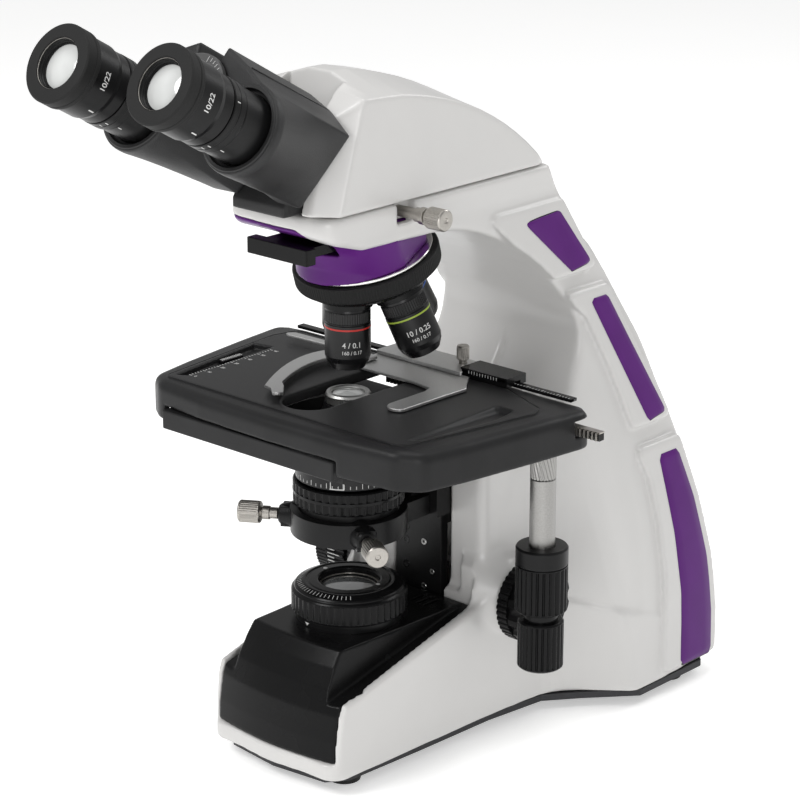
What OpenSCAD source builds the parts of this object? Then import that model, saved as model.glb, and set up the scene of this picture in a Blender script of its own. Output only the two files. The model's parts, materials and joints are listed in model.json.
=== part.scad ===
// Upright biological microscope with an inclined binocular head.
// Frame: z = 0 is the table, the optical axis is the z axis, the user sits on
// the -y side and the stage drive hangs on the +x side.

/* [Stand] */
// Height of the stage surface above the table
stage_z = 200; // [196:1:204]
// Half width of the stand at the rear of the base
base_half = 92; // [88:1:96]
// Half width of the column behind the stage
column_half = 45; // [42:1:46]
// Height of the flat joint between the arm and the head
parting_z = 305; // [304.5:0.5:305.5]

/* [Optics] */
// Distance from the stage surface to the shoulder of the objectives
parfocal = 45; // [44:0.5:46]
// Tilt of the nosepiece axis away from the optical axis
nose_tilt = 16; // [15.5:0.25:16.5]
// Distance of each objective axis from the nosepiece axis, at the shoulder
nose_pitch = 19.5; // [19:0.25:20.5]
// Outer diameter of an objective barrel
barrel_d = 24; // [22:0.5:24]

/* [Head] */
// Inclination of the eye tubes above the horizontal
tube_tilt = 30; // [30:1:30]
// Distance between the eye tubes
eye_spacing = 70; // [70:0.5:72]
// Drop of the eye tubes below the hinge between them
hinge_drop = 12.3; // [12.3:0.1:13.3]
// Inner diameter of the eye tubes
eye_bore = 30; // [29.8:0.1:30.2]

/* [Stage] */
// Half width of the stage at its rear edge
stage_half_rear = 113; // [110:1:114]
// Half width of the stage at its front edge
stage_half_front = 103; // [100:1:105]
// Thickness of the stage plate
stage_t = 6; // [5.5:0.25:6.5]

/* [Hidden] */
$fn = 64;
eps = 0.02;

// ---- stand ----
foot_h = 5;
plate_t = 4;
casting_z = foot_h + plate_t;
lip_z = 18;
deck_z = 73;
column_y = 58;
column_top = 152;
channel_half = 20;
channel_y = 84;
arm_half = 38;
nose_y = -56;
nose_z = 284;
clamp_z = parting_z - 5.5;

// ---- focus drive ----
focus_y = 72;
focus_z = 77;
pinion_r = 6;
focus_knob_r = 22;
knob_out = 75;

// ---- nosepiece: distances are measured along its own axis from the apex ----
shoulder_z = stage_z + parfocal;
cone_l = nose_pitch / sin(nose_tilt);
apex_z = shoulder_z + cone_l;
grip_top = 48;
grip_bottom = 56.7;
grip_r = 38.6;
thread_r = 10.16;
low_l = 33;
high_l = 41;

// ---- head: s runs down the eye tubes from the eyepiece rims ----
rim_y = -158.4;
rim_z = 389.6;
hinge_y = rim_y + hinge_drop * sin(tube_tilt);
hinge_z = rim_z + hinge_drop * cos(tube_tilt);
tube_x = eye_spacing / 2;
arm_front_s = 57;
arm_mid_s = 89;
arm_rear_s = 121;
close_angle = 22;
open_angle = 8;
arm_gap = 0.4;
lobe_r = 18;
cap_r = 19.2;
pin_r = 6;
collar_r = 23;
eye_tube_r = 17.5;
tube_front_s = 32;
rim_r = 20;

// ---- stage ----
skirt_z = 178;
base_stage_z = 172;
base_stage_t = 11;
drive_x = 95;
drive_y = 45;
y_shaft_r = 6.8;
y_knob_r = 13.8;
x_knob_r = 12.1;
slot_half = 14;
slot_y = 42;
rail_y = 60;
holder_t = 1.8;
rail_h = 2.4;
pivot_x = -22;
pivot_y = 36;

// ---- condenser and lamp ----
cond_ring_z = 139;
cond_ring_r = 29.5;
screw_angle = 58;
screw_z = 128;
field_r = 31;
field_z = 78;

// ---- helpers ----

// Points of a cubic Bezier curve
function bez(a, b, c, d, n) = [for (i = [0 : n]) let (t = i / n, u = 1 - t)
    u * u * u * a + 3 * u * u * t * b + 3 * u * t * t * c + t * t * t * d];
// Points of a circular arc
function arc(c, r, a0, a1, n) = [for (i = [0 : n]) let (t = a0 + (a1 - a0) * i / n)
    [c[0] + r * cos(t), c[1] + r * sin(t)]];
// A half outline on the +x side, closed by its mirror image
function both(p) = concat(p, [for (i = [len(p) - 1 : -1 : 0]) [-p[i][0], p[i][1]]]);

// Extrudes an outline drawn in (y, z) along x, centred on x = 0
module along_x(w) {
    rotate([90, 0, 90]) linear_extrude(w, center = true) children();
}
// Extrudes an outline drawn in (x, z) along y, from y0 to y1
module along_y(y0, y1) {
    translate([0, y1, 0]) rotate([90, 0, 0]) linear_extrude(y1 - y0) children();
}
module ring(r_out, r_in, z0, z1) {
    translate([0, 0, z0]) difference() {
        cylinder(r = r_out, h = z1 - z0);
        translate([0, 0, -1]) cylinder(r = r_in, h = z1 - z0 + 2);
    }
}
// Places a child on the axis of the focusing shafts, z pointing along +x
module along_focus() {
    translate([0, focus_y, focus_z]) rotate([0, 90, 0]) children();
}
// A drum with round-bottomed flutes cut into its rim
module fluted(r, h, count, flute_r, depth) {
    difference() {
        cylinder(r = r, h = h);
        for (i = [0 : count - 1])
            rotate([0, 0, i * 360 / count]) translate([r + flute_r - depth, 0, -1])
                cylinder(r = flute_r, h = h + 2, $fn = 16);
    }
}
// A straight gear blank with triangular teeth
module gear(r_tip, r_root, teeth, h) {
    linear_extrude(h) polygon([for (i = [0 : 2 * teeth - 1])
        let (r = i % 2 == 0 ? r_tip : r_root, t = i * 180 / teeth) [r * cos(t), r * sin(t)]]);
}

// ---- stand ----
base_outline = both(concat([[0, -63], [22, -60]], arc([34, -49], 9, -75, 5, 6),
    [[47.5, 8], [50, 58], [54, 97], [68, 114], [base_half - 1, 139], [base_half, 150],
    [base_half, 198]], arc([base_half - 8, 199], 8, 0, 90, 5)));
inner_outline = both([[0, -57], [34, -52], [42, 8], [44, 58], [48, 99], [64, 119],
    [base_half - 6, 142], [base_half - 6, 200], [0, 200]]);

// Side view of the arm: the back curve, the nose and the inner curve, in (y, z)
back_low = bez([207, casting_z], [213, 70], [206, 130], [176, 190], 10);
back_high = bez([174, 193], [150, 240], [135, 270], [112, parting_z], 7);
arm_inner = bez([26, nose_z], [110, nose_z], [150, 220], [152, 150], 14);
arm_side = concat(back_low, back_high, [[nose_y, parting_z], [nose_y, 291], [-25, nose_z]],
    arm_inner, [[150, casting_z]]);

// Front view of the stand: its half width against height, in (x, z)
arm_front = both(concat([[0, casting_z], [base_half, casting_z], [base_half - 2, 35]],
    bez([base_half - 6, 63], [78, 120], [52, 215], [arm_half + 2, 283], 8),
    [[arm_half, 290], [arm_half, parting_z], [0, parting_z]]));

// Plan of the web that spreads from the column to the rear band
web_plan = both([[0, column_y], [column_half, column_y], [column_half + 5, 97],
    [62, 116], [base_half, 150], [base_half, 170], [0, 170]]);
column_plan = both(concat([[0, column_y]], arc([column_half - 7, column_y + 7], 7, -90, 0, 4),
    [[column_half, 160], [0, 160]]));
nose_plan = both(concat([[0, -54]], arc([arm_half - 13, -37], 13, -80, 0, 5),
    [[arm_half + 1, 20], [150, 60], [150, 230], [0, 230]]));

module base_shell() {
    difference() {
        intersection() {
            translate([0, 0, casting_z]) linear_extrude(85) polygon(base_outline);
            along_x(220) polygon([[-70, casting_z], [-60, lip_z], [-49, 51], [47, 75],
                [62, 80], [100, 40], [215, 30], [215, casting_z]]);
            along_y(-80, 230) polygon(arm_front);
        }
        // room for the lamp cover, open at the top
        along_x(2 * 42) polygon([[-70, lip_z], [-70, 90], [49, 90], [49, lip_z]]);
        // hollow underside for the lamp and its electronics
        translate([0, 0, casting_z - 1]) linear_extrude(lip_z - casting_z - 1) intersection() {
            polygon(inner_outline);
            translate([-100, -60]) square([200, 105]);
        }
    }
}
module arm_shape() {
    intersection() {
        along_x(220) polygon(arm_side);
        along_y(-80, 230) polygon(arm_front);
        translate([0, 0, casting_z]) linear_extrude(320) polygon(nose_plan);
    }
    intersection() {
        union() {
            translate([0, 0, casting_z]) linear_extrude(240) polygon(web_plan);
            translate([0, 0, casting_z]) linear_extrude(240) polygon(column_plan);
        }
        along_y(-80, 230) polygon(arm_front);
        along_x(220) polygon([[50, casting_z], [50, 146], [62, column_top], [78, column_top],
            [104, 166], [130, 198], [148, 235], [158, 235], [158, casting_z]]);
    }
}
module stand_casting() {
    color("gainsboro") difference() {
        union() {
            base_shell();
            arm_shape();
            // boss that carries the coarse drive on the drive side
            along_focus() translate([0, 0, column_half - 5]) cylinder(r1 = 26, r2 = 15, h = 17);
        }
        // front channel for the focusing carriage
        translate([-channel_half, 40, 36]) cube([2 * channel_half, channel_y - 40, 200]);
        // bore for the coaxial focusing shafts
        along_focus() cylinder(r = pinion_r + 0.05, h = 150, center = true);
        // recess for the head seat and the light path below it
        translate([0, 0, parting_z - 9]) cylinder(r = 30, h = 10);
        translate([0, 0, 250]) cylinder(r = 16, h = 80);
        // slot for the filter slider, above the nosepiece
        translate([-16.5, -70, 279]) cube([33, 90, 9.5]);
        // seat of the nosepiece housing
        translate([0, 6, 270]) cylinder(r = 31, h = 24);
        // clearance hole for the head clamp screw
        translate([28, 5, clamp_z]) rotate([0, 90, 0]) cylinder(r = 3.15, h = 20);
        // cavity in the back of the stand for the power supply
        along_x(112) polygon([[122, casting_z - 1], [122, 60], [194, 60], [194, casting_z - 1]]);
        // round seat of the tension ring on the far side
        along_focus() translate([0, 0, -60]) cylinder(r = 19.6, h = 14.3);
        // rear opening for the power inlet and the side openings of the controls
        translate([-14, 190, 22]) cube([28, 30, 21]);
        translate([-16.6, 205.9, 19.4]) cube([33.2, 10, 26.2]);
        translate([40.5, 170, 26.5]) cube([16, 40, 23]);
        translate([-60, -8, 30]) rotate([0, 90, 0]) cylinder(r = 3.05, h = 20);
    }
}
module base_plate() {
    color("dimgray") difference() {
        translate([0, 0, foot_h]) linear_extrude(plate_t) polygon(both([[0, -59], [34, -55],
            [42, -44], [45, 8], [47, 60], [52, 99], [66, 117], [base_half - 4, 142],
            [base_half - 4, 198], [base_half - 10, 204], [0, 204]]));
        for (x = [-1, 1], y = [-36, 184])
            translate([x * (y < 0 ? 30 : 74), y, 0]) cylinder(r = 3, h = 20);
    }
}
module rubber_feet() {
    color("black") for (x = [-1, 1], y = [-36, 184])
        translate([x * (y < 0 ? 30 : 74), y, 0]) {
            cylinder(r1 = 8.5, r2 = 9.5, h = foot_h);
            cylinder(r = 2.8, h = foot_h + plate_t - 0.5);
        }
}
module lamp_solid(g) {
    // g pulls every wall inwards
    hull() {
        translate([0, 0, lip_z]) linear_extrude(0.1)
            polygon(both([[0, -60 + g], [30, -59 + g], [41.5 - g, -56 + g], [41.5 - g, 48]]));
        along_x(2 * (41.5 - g)) polygon([[-50 + g, 49 - g], [48, 72 - g], [48, 20], [-50 + g, 20]]);
        along_x(2 * (32 - g)) polygon([[-38 + g, deck_z - g], [48, deck_z - g], [48, 30]]);
    }
}
module lamp_cover() {
    color([0.13, 0.13, 0.13]) difference() {
        lamp_solid(0);
        difference() {
            translate([0, 0, -1]) lamp_solid(3);
            translate([-50, 45, 0]) cube([100, 10, 100]);
        }
        translate([0, 0, 60]) cylinder(r = 24, h = 20);
        // cooling slots behind the field lens
        for (i = [0 : 4]) translate([-13 + 6.5 * i - 1, 34, 60]) cube([2, 9, 20]);
    }
}
module field_collar() {
    color([0.1, 0.1, 0.1]) difference() {
        union() {
            translate([0, 0, deck_z]) cylinder(r = 28.5, h = field_z - deck_z - 0.2);
            translate([0, 0, deck_z - 14]) cylinder(r = 23.8, h = 28);
        }
        translate([0, 0, deck_z - 15]) cylinder(r = 17.5, h = 40);
    }
}
module lamp_lenses() {
    color([0.8, 0.85, 0.88, 0.6]) {
        // field lens in the collar and the collector lens above the lamp
        translate([0, 0, deck_z + 9]) cylinder(r = 17.49, h = 3.5);
        translate([0, 0, deck_z - 12]) cylinder(r = 17.49, h = 3);
    }
}
module led_module() {
    color("silver") difference() {
        union() {
            for (i = [0 : 6]) translate([-21 + 7 * i - 1, -16, lip_z]) cube([2, 32, 16]);
            translate([-23, -18, lip_z + 15]) cube([46, 36, 5]);
            translate([0, 0, lip_z + 19]) cylinder(r = 9, h = 2.5);
            translate([0, 0, lip_z + 21]) cylinder(r = 3, h = 1.4);
        }
        for (x = [-18, 18], y = [-13, 13])
            translate([x, y, lip_z + 10]) cylinder(r = 1.6, h = 14);
    }
}
module power_inlet() {
    color([0.12, 0.12, 0.12]) difference() {
        union() {
            translate([-13.6, 186, 22.4]) cube([27.2, 21, 20.2]);
            translate([-16.5, 206, 19.5]) cube([33, 2.4, 26]);
        }
        translate([-11, 192, 25]) cube([22, 20, 15]);
    }
    color("silver") for (i = [-1 : 1])
        translate([7 * i - 1, 190, i == 0 ? 33.5 : 29.5]) cube([2, 15, 4]);
}

// A purple inlay on the rear band: its outline in (y, z), pressed into the band
inlay_outlines = [
    [[96, 279], [123, 279], [146, 246], [127, 245]],
    [[136, 225], [150, 226], [185, 152], [164, 152]],
    [[161, 138], [180, 138], [195, 70], [197, 14], [170, 13], [168, 70]]];
module purple_inlays() {
    color([0.34, 0.12, 0.46]) {
        for (o = inlay_outlines, s = [-1, 1]) intersection() {
            along_x(220) polygon(o);
            difference() {
                along_y(-80, 230) polygon([for (p = arm_front) [p[0] + sign(p[0]) * 0.8, p[1]]]);
                along_y(-80, 230) polygon(arm_front);
            }
            translate([s > 0 ? 0 : -150, 0, 0]) cube([150, 230, 320]);
        }
        // front inlay under the rim of the nose
        intersection() {
            translate([0, 0, 290]) linear_extrude(9.5) polygon(both(concat([[0, -54.8]],
                arc([arm_half - 13, -37], 13.8, -80, -35, 3), [[25, -40], [0, -40]])));
            difference() {
                translate([-40, -60, 290]) cube([80, 60, 9.5]);
                translate([0, 0, 280]) linear_extrude(30) polygon(nose_plan);
            }
        }
    }
}

// ---- nosepiece ----
module nose_frame() {
    translate([0, 0, apex_z]) rotate([nose_tilt, 0, 0]) children();
}
// Places a child on the shoulder of objective i, pointing down its axis
module at_objective(i) {
    nose_frame() rotate([0, 0, 90 * i]) rotate([-nose_tilt, 0, 0])
        translate([0, 0, -cone_l]) children();
}
module nosepiece_housing() {
    color([0.3, 0.1, 0.42]) difference() {
        union() {
            intersection() {
                union() {
                    nose_frame() translate([0, 2, -60]) cylinder(r = 33.5, h = 60);
                    translate([-24, -38, 250]) cube([48, 44, 40]);
                }
                // above the fixed plate of the nosepiece and below the arm
                nose_frame() translate([-60, -60, -grip_top + 2.2]) cube([120, 120, 60]);
                // flat top that falls away under the curve at the root of the arm
                along_x(120) polygon([[-60, 200], [-60, nose_z - 0.5], [20, nose_z - 0.5],
                    [50, nose_z - 4.5], [50, 200]]);
            }
            translate([0, 6, nose_z - 0.6]) cylinder(r = 30.7, h = 10.4);
        }
        nose_frame() translate([0, 0, -grip_top - 4]) cylinder(r = 15, h = 14);
        translate([0, 0, 250]) cylinder(r = 12, h = 50);
        translate([-16.5, -70, 279]) cube([33, 90, 9.5]);
    }
}
module nosepiece_ring() {
    color("silver") nose_frame() difference() {
        union() {
            translate([0, 0, -grip_top + 0.3]) cylinder(r = 35.6, h = 1.9);
            translate([0, 0, -grip_top - 5]) cylinder(r = 8, h = 7.2);
        }
        // the light path through the fixed plate
        rotate([-nose_tilt, 0, 0]) translate([0, 0, -90]) cylinder(r = 10, h = 80);
    }
}
module turret_body() {
    color([0.1, 0.1, 0.1]) difference() {
        union() {
            nose_frame() {
                translate([0, 0, -grip_bottom - 2]) cylinder(r = 35, h = grip_bottom - grip_top + 2);
                translate([0, 0, -grip_bottom - 7]) cylinder(r1 = 27, r2 = 34, h = 5.1);
                translate([0, 0, -grip_bottom - 9]) cylinder(r = 20, h = 4);
            }
            for (i = [0 : 3]) at_objective(i) cylinder(r = 13, h = 12);
        }
        nose_frame() {
            translate([0, 0, -grip_top - 5.2]) cylinder(r = 8.3, h = 10);
            translate([0, 0, -grip_top]) cylinder(r = 50, h = 40);
        }
        for (i = [0 : 3]) at_objective(i) translate([0, 0, -1]) cylinder(r = thread_r + 0.1, h = 30);
    }
}
module turret_grip() {
    color([0.06, 0.06, 0.06]) nose_frame() translate([0, 0, -grip_bottom]) difference() {
        fluted(grip_r, grip_bottom - grip_top, 72, 0.9, 0.5);
        translate([0, 0, -1]) cylinder(r = 35.02, h = 20);
    }
}
// An objective of length l below its shoulder, with a front of radius tip_r
module objective(l, tip_r, nose_l) {
    barrel_r = barrel_d / 2;
    step = l - nose_l;
    difference() {
        union() {
            translate([0, 0, -0.02]) cylinder(r = thread_r - 0.05, h = 4.5);
            translate([0, 0, -2]) cylinder(r = barrel_r - 0.6, h = 2);
            translate([0, 0, -8]) cylinder(r = barrel_r - 0.3, h = 6.1);
            translate([0, 0, -step]) cylinder(r = barrel_r, h = step - 8 + eps);
            translate([0, 0, -step - 5]) cylinder(r1 = max(tip_r, barrel_r - 5), r2 = barrel_r, h = 5);
            translate([0, 0, -l]) cylinder(r = tip_r, h = nose_l + eps);
        }
        translate([0, 0, -l + 3]) cylinder(r = tip_r * 0.6, h = l + 10);
        translate([0, 0, -l - 1]) cylinder(r = tip_r * 0.55, h = 2);
    }
}
module objective_4x() {
    color([0.15, 0.15, 0.15]) at_objective(0) objective(low_l, 7.4, 5.5);
}
module objective_10x() {
    color([0.15, 0.15, 0.15]) at_objective(1) objective(low_l, 7.2, 5.5);
}
module objective_40x() {
    color([0.15, 0.15, 0.15]) at_objective(2) objective(high_l, 4.5, 11);
}
module objective_100x() {
    color([0.15, 0.15, 0.15]) at_objective(3) objective(high_l + 0.5, 4, 12);
}
module filter_slider() {
    color([0.08, 0.08, 0.08]) difference() {
        union() {
            translate([-21, -51, 279]) cube([42, 7, 8.9]);
            translate([-16, -45, 281]) cube([32, 62, 6]);
        }
        cylinder(r = 11, h = 400);
        translate([0, -30, 0]) cylinder(r = 8, h = 400);
    }
}

// ---- head ----
head_side = concat([[-39, parting_z + 0.5], [-39, 345], [-27, 361], [0, 360.5]],
    bez([4, 360], [45, 352], [85, 335], [112, parting_z + 0.5], 10));
head_ridge = concat([[-39, parting_z + 0.5], [-39, 349], [-25, 371], [-8, 370.5]],
    bez([4, 367], [45, 357], [85, 337], [112, parting_z + 0.5], 10));
module head_seat() {
    color("silver") difference() {
        translate([0, 0, parting_z - 9]) cylinder(r = 29.98, h = 8.8);
        translate([0, 0, parting_z - 10]) cylinder(r = 21.05, h = 20);
        translate([19, 5, clamp_z]) rotate([0, 90, 0]) cylinder(r = 3.05, h = 20);
    }
}
module head_housing() {
    color("gainsboro") difference() {
        union() {
            intersection() {
                along_x(2 * arm_half) polygon(head_side);
                linear_extrude(400) polygon(both(concat([[0, -39]],
                    arc([arm_half - 8, -31], 8, -90, 0, 4), [[arm_half, 90], [30, 113], [0, 113]])));
            }
            along_x(26) polygon(head_ridge);
            translate([0, 0, parting_z - 6]) cylinder(r = 21, h = 7);
        }
        // inner cavity for the prisms
        along_x(2 * arm_half - 10) polygon([[-34, 312], [-34, 344], [-24, 355], [10, 353], [60, 338],
            [88, 312]]);
        translate([0, 0, 290]) cylinder(r = 14, h = 40);
        hinge_frame() translate([0, 0, arm_rear_s]) cylinder(r = pin_r + 6.1, h = 21);
    }
}
module head_prism() {
    color([0.85, 0.9, 0.92]) along_x(24)
        polygon([[-14, 319], [14, 319], [18, 342], [-20, 345]]);
    color("silver") along_x(40) polygon([[-20, 312.05], [30, 312.05], [30, 318.9], [20, 318.9],
        [20, 315], [-18, 315], [-18, 318.9], [-20, 318.9]]);
}
// Frame of the hinge: z runs down the tubes from the level of the eyepiece rims
module hinge_frame() {
    translate([0, hinge_y, hinge_z]) rotate([-90 - tube_tilt, 0, 0])
        mirror([0, 1, 0]) children();
}
module tube_frame(side) {
    hinge_frame() translate([side * tube_x, -hinge_drop, 0]) children();
}
module binocular_body() {
    color([0.15, 0.15, 0.15]) {
        intersection() {
            along_x(36) polygon([[-70, parting_z + 0.6], [-39.05, parting_z + 0.6],
                [-39.05, 349], [-34.5, 356.5], [-45, 362]]);
            hinge_frame() translate([-60, -80, arm_rear_s + 0.5]) cube([120, 120, 40]);
        }
        hinge_frame() {
            translate([0, 0, arm_front_s - 0.5]) cylinder(r = pin_r, h = 85);
            translate([0, 0, arm_rear_s + 0.5]) cylinder(r = pin_r + 6, h = 20);
        }
    }
}
module hinge_cap() {
    color([0.45, 0.45, 0.45]) hinge_frame() translate([0, 0, arm_front_s - 3]) difference() {
        cylinder(r = cap_r, h = 2.5);
        translate([-0.3, 12, -1]) cube([0.6, 5, 1.5]);
    }
}
// The space on one side of the plane between the arms, with a small gap
module half_space(side, gap) {
    translate([side > 0 ? gap : -gap - 80, -80, 0]) cube([80, 160, 200]);
}
// One swinging arm of the head. Its lobe on the hinge fills the stretch from
// lobe0 to lobe1 and the rest leaves room for the other arm's lobe.
module tube_housing(side, lobe0, lobe1) {
    color([0.17, 0.17, 0.17]) difference() {
        union() {
            hinge_frame() difference() {
                hull() {
                    translate([side * tube_x, -hinge_drop, arm_front_s])
                        cylinder(r = collar_r, h = 16, $fn = 32);
                    translate([side * 27, -11.5, arm_rear_s - 1]) cylinder(r = 20, h = 1, $fn = 32);
                    for (z = [arm_front_s, arm_rear_s - 1])
                        translate([side * 10, 21, z]) cylinder(r = 4, h = 1, $fn = 32);
                }
                // the half that belongs to the other arm when the two are closed
                rotate([0, 0, side * close_angle]) half_space(-side, -arm_gap);
                rotate([0, 0, -side * open_angle]) half_space(-side, -arm_gap);
                translate([0, 0, arm_front_s - 1]) cylinder(r = lobe_r + 0.4, h = 80);
            }
            hinge_frame() translate([0, 0, lobe0]) cylinder(r = lobe_r, h = lobe1 - lobe0);
            hinge_frame() intersection() {
                translate([side > 0 ? 8 : -26, -12, lobe0]) cube([18, 18, lobe1 - lobe0]);
                rotate([0, 0, side * close_angle]) half_space(side, arm_gap);
            }
        }
        hinge_frame() cylinder(r = pin_r + 0.05, h = 200);
        tube_frame(side) cylinder(r = 15.2, h = 200);
        tube_frame(side) cylinder(r = eye_tube_r + 0.02, h = arm_front_s + 12);
        tube_frame(side) translate([0, 0, arm_front_s - 1]) cylinder(r = 19.5, h = 3);
    }
}
module right_tube_housing() { tube_housing(1, arm_front_s, arm_mid_s - 0.3); }
module left_tube_housing() { tube_housing(-1, arm_mid_s, arm_rear_s); }
module eye_tube(side) {
    color([0.12, 0.12, 0.12]) tube_frame(side) difference() {
        union() {
            translate([0, 0, tube_front_s + 0.2]) cylinder(r = 16.4, h = 12);
            translate([0, 0, tube_front_s + 9]) cylinder(r = eye_tube_r, h = arm_front_s + 3 - tube_front_s);
        }
        cylinder(r = eye_bore / 2 + 0.05, h = 200);
    }
}
module right_eye_tube() { eye_tube(1); }
module left_eye_tube() { eye_tube(-1); }
module diopter_ring(side) {
    color([0.11, 0.11, 0.11]) tube_frame(side) ring(18.2, 16.45, tube_front_s + 0.5, tube_front_s + 8.7);
}
module right_diopter_ring() { diopter_ring(1); }
module left_diopter_ring() { diopter_ring(-1); }
module eyepiece(side) {
    color([0.1, 0.1, 0.1]) tube_frame(side) difference() {
        union() {
            cylinder(r = rim_r, h = 9);
            translate([0, 0, 8.9]) cylinder(r = rim_r - 1.2, h = 15);
            translate([0, 0, 23.8]) cylinder(r1 = rim_r - 1.2, r2 = 18, h = 2);
            translate([0, 0, 25.7]) cylinder(r = 18, h = tube_front_s - 25.7);
            translate([0, 0, tube_front_s - 1]) cylinder(r = eye_bore / 2, h = 26);
        }
        translate([0, 0, -1]) cylinder(r = 13.5, h = 4);
        translate([0, 0, 2.9]) cylinder(r = 12, h = 4.2);
        translate([0, 0, 7]) cylinder(r = 12.6, h = 60);
    }
}
module right_eyepiece() { eyepiece(1); }
module left_eyepiece() { eyepiece(-1); }
module eye_lens(side) {
    color([0.85, 0.88, 0.9, 0.7]) tube_frame(side) translate([0, 0, 3.6]) cylinder(r = 12, h = 3.4);
}
module right_eye_lens() { eye_lens(1); }
module left_eye_lens() { eye_lens(-1); }
module head_clamp_screw() {
    color("silver") translate([51, 5, clamp_z]) rotate([0, 90, 0]) {
        fluted(5.6, 12, 28, 0.5, 0.3);
        translate([0, 0, -6]) cylinder(r = 3.8, h = 6.1);
        translate([0, 0, -29.9]) cylinder(r = 3, h = 26);
    }
}

// ---- focus ----
module guide_block() {
    color("gray") {
        for (s = [-1, 1]) translate([s * 17 - 3, 66, 84]) cube([6, channel_y - 66, 66]);
        translate([-16, 79, 84]) cube([32, channel_y - 79, 66]);
    }
}
module focus_carriage() {
    color([0.12, 0.12, 0.12]) difference() {
        union() {
            translate([-16.5, 55, 64]) cube([33, 5, 106]);
            translate([-22, 45, 121]) cube([44, 10.1, 51]);
            translate([-13.7, 59.9, 111]) cube([27.4, 18.5, 40]);
            translate([-40, 36, base_stage_z - 6]) cube([80, 19, 6]);
        }
        for (z = [70, 84, 98, 106, 114]) translate([-9, 50, z]) rotate([-90, 0, 0])
            cylinder(r = z % 4 == 2 ? 2.2 : 1.5, h = 6.5);
        translate([4, 50, 100]) rotate([-90, 0, 0]) cylinder(r = 1.6, h = 6.5);
        translate([4, 50, 74]) rotate([-90, 0, 0]) cylinder(r = 1.6, h = 6.5);
        // room for the rack
        translate([-4, 60, 60]) cube([8, 20, 92]);
    }
}
module focus_rack() {
    color("goldenrod") translate([-3.9, 60, 66]) difference() {
        cube([7.8, 5.2, 74]);
        for (i = [0 : 22]) translate([-1, 5.9, 2 + 3.14 * i]) rotate([45, 0, 0])
            cube([10, 1.7, 1.7]);
    }
}
module coarse_knobs() {
    color([0.1, 0.1, 0.1]) along_focus() difference() {
        union() {
            translate([0, 0, 60]) fluted(focus_knob_r, 6.8, 40, 1, 0.6);
            translate([0, 0, 57.6]) cylinder(r = 13, h = 2.6);
            translate([0, 0, -66.4]) fluted(focus_knob_r, 13.4, 30, 1.6, 1);
        }
        cylinder(r = 6.02, h = 200, center = true);
    }
}
module focus_pinion() {
    color("silver") along_focus() difference() {
        union() {
            for (s = [[-66, -8], [8, 66.4]])
                translate([0, 0, s[0]]) cylinder(r = 6, h = s[1] - s[0]);
            translate([0, 0, -8]) cylinder(r = 4.4, h = 16);
            rotate([0, 0, 15]) translate([0, 0, -3.6]) gear(6.5, 5, 12, 7.2);
        }
        cylinder(r = 3.05, h = 200, center = true);
    }
}
module fine_knobs() {
    color([0.1, 0.1, 0.1]) along_focus() {
        translate([0, 0, 67.2]) difference() {
            fluted(focus_knob_r - 0.6, knob_out - 67.2, 12, 6, 1.6);
            translate([0, 0, knob_out - 67.2 - 1.2]) cylinder(r = 15, h = 2);
        }
        translate([0, 0, -knob_out]) fluted(focus_knob_r - 1, knob_out - 67, 60, 0.6, 0.4);
        cylinder(r = 3, h = 2 * 68, center = true);
    }
}
module tension_ring() {
    color("dimgray") along_focus() translate([0, 0, -52.6]) difference() {
        fluted(19, 6.6, 48, 0.7, 0.4);
        translate([0, 0, -1]) cylinder(r = 6.3, h = 12);
    }
}

// ---- stage ----
stage_plan = both(concat([[0, -61], [50, -59.5]],
    arc([stage_half_front - 13, -46], 12.5, -80, -6, 5),
    arc([stage_half_rear - 9, 56], 9, 0, 90, 5), [[0, 65]]));
module stage_slot(g) {
    translate([-slot_half - g, -slot_y + slot_half]) square([2 * (slot_half + g), 2 * slot_y - slot_half]);
    translate([0, -slot_y + slot_half]) circle(r = slot_half + g);
}
module stage_top() {
    color([0.16, 0.16, 0.16]) difference() {
        translate([0, 0, skirt_z]) linear_extrude(stage_z - skirt_z) polygon(stage_plan);
        // hollow under the plate, open to the rear
        difference() {
            translate([0, 0, skirt_z - 1]) linear_extrude(stage_z - stage_t - skirt_z + 1)
                polygon(both([[0, -56], [stage_half_front - 10, -54], [stage_half_front - 4, -44],
                    [stage_half_rear - 4, 52], [stage_half_rear - 4, 70], [0, 70]]));
            translate([drive_x, drive_y, 0]) cylinder(r = 12, h = 400);
        }
        // the fixed plate shows through this notch in the front skirt
        translate([-79, -65, skirt_z - 1]) cube([127, 20, 9.5]);
        // bore of the drive shafts and clearance of the rack beside it
        translate([drive_x, drive_y, skirt_z - 1]) cylinder(r = y_shaft_r + 0.05, h = 9.2);
        translate([drive_x, drive_y, skirt_z - 1]) cylinder(r = 5.9, h = 15.5);
        translate([drive_x - 20, drive_y - 14, skirt_z - 1]) cube([14.6, 28, 9]);
        translate([drive_x - 40, drive_y + 4.5, 186]) cube([80, 16, 8.1]);
        translate([0, 0, stage_z - stage_t - 1]) linear_extrude(20) stage_slot(0);
        // read-out slot of the front-rear scale
        translate([-88, -41, stage_z - 2]) cube([7, 72, 3]);
    }
    // rail of the left-right slide
    color([0.12, 0.12, 0.12]) translate([-96, rail_y, stage_z - eps]) cube([196, 5, rail_h]);
}
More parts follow.
